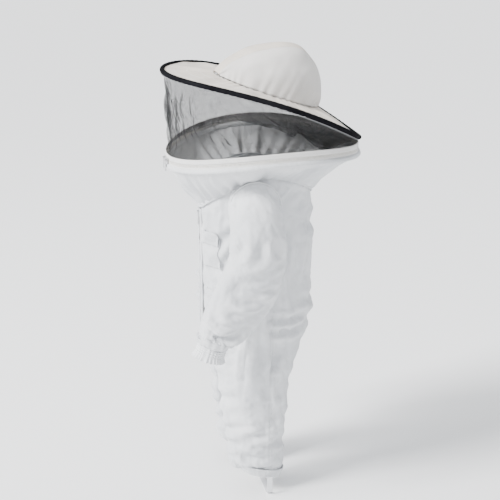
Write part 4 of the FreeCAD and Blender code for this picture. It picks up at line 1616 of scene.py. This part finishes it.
def armhole_seams(thread):
    """Raised thread ring round each armhole, on the body side of its seam."""
    for side, name in ((1, "left"), (-1, "right")):
        def place(turn, r, x):
            return at(side * x, SHOULDER[1] - r * math.cos(turn), SHOULDER[2] + r * math.sin(turn))
        ring = tube_piece("armhole_seam_" + name,
                          [place(t, ARMHOLE_R + 0.0004, SHOULDER[0]) for t in full_turn(160)],
                          lambda i, turn: 0.0012, 8)
        dress(ring, thread)
        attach(ring, "suit")


def finish_node(name, material):
    for place in bpy.data.objects[name].material_slots:
        place.material = material


def make_hardware(tape, coil, steel):
    for name in ("zip_tape_left", "zip_tape_right"):
        finish_node(name, tape)
    for name in ("lower_zip_coil", "upper_zip_coil", "zip_teeth_left", "zip_teeth_right"):
        finish_node(name, coil)
    for name in ("zip_stops", "zip_slider", "zip_pull", "veil_slider_left", "veil_slider_right",
                 "veil_pull_left", "veil_pull_right"):
        finish_node(name, steel)


make_camera()
make_studio()
COTTON = cloth_material("suit_cotton", (0.60, 0.615, 0.635), (0.72, 0.73, 0.745))
HAT_COTTON = cloth_material("hat_cotton", (0.60, 0.545, 0.48), (0.70, 0.64, 0.565))
HAT_SIDE = cloth_material("hat_side_cotton", (0.60, 0.58, 0.56), (0.70, 0.68, 0.655))
TOWEL = cloth_material("sweatband_cotton", (0.70, 0.68, 0.64), (0.80, 0.78, 0.74), 0.0012, 0.002)
ELASTIC = cloth_material("elastic", (0.72, 0.73, 0.75), (0.82, 0.83, 0.84), 0.0010, 0.0008)
BLACK = cloth_material("black_binding", (0.003, 0.003, 0.004), (0.010, 0.010, 0.012), 0.0009,
                       0.0006, 0.85, 0.0, 0.04)
GREY = cloth_material("grey_piping", (0.22, 0.225, 0.23), (0.34, 0.345, 0.35), 0.0008, 0.0005)
TAPE = cloth_material("zip_tape", (0.68, 0.67, 0.65), (0.78, 0.77, 0.75), 0.0008, 0.0005)
THREAD = cloth_material("thread", (0.74, 0.75, 0.76), (0.84, 0.845, 0.85), 0.0003, 0.0002)
NET = net_material("veil_net", (0.006, 0.006, 0.007), 0.0021, 0.00052)
COIL = nylon_material("zip_coil", (0.62, 0.60, 0.56), (0.74, 0.72, 0.68))
STEEL = metal_material("zip_metal", (0.50, 0.50, 0.51), (0.68, 0.68, 0.69), 0.34)

BODY_TREE = make_coverall(COTTON, THREAD)
armhole_seams(THREAD)
make_yoke(COTTON, THREAD)
make_collar(COTTON, TAPE, THREAD)
for SIDE, NAME in ((1, "left"), (-1, "right")):
    make_cuff(SIDE, NAME, ELASTIC, THREAD)
    make_hem(SIDE, NAME, COTTON, THREAD)
    finish_node("stirrup_" + NAME, ELASTIC)
make_pockets(BODY_TREE, COTTON, THREAD)
make_zip_strips(COTTON, THREAD)
make_hat(HAT_COTTON, HAT_SIDE, BLACK, GREY, TOWEL, THREAD)
make_veil(NET, THREAD)
make_hardware(TAPE, COIL, STEEL)
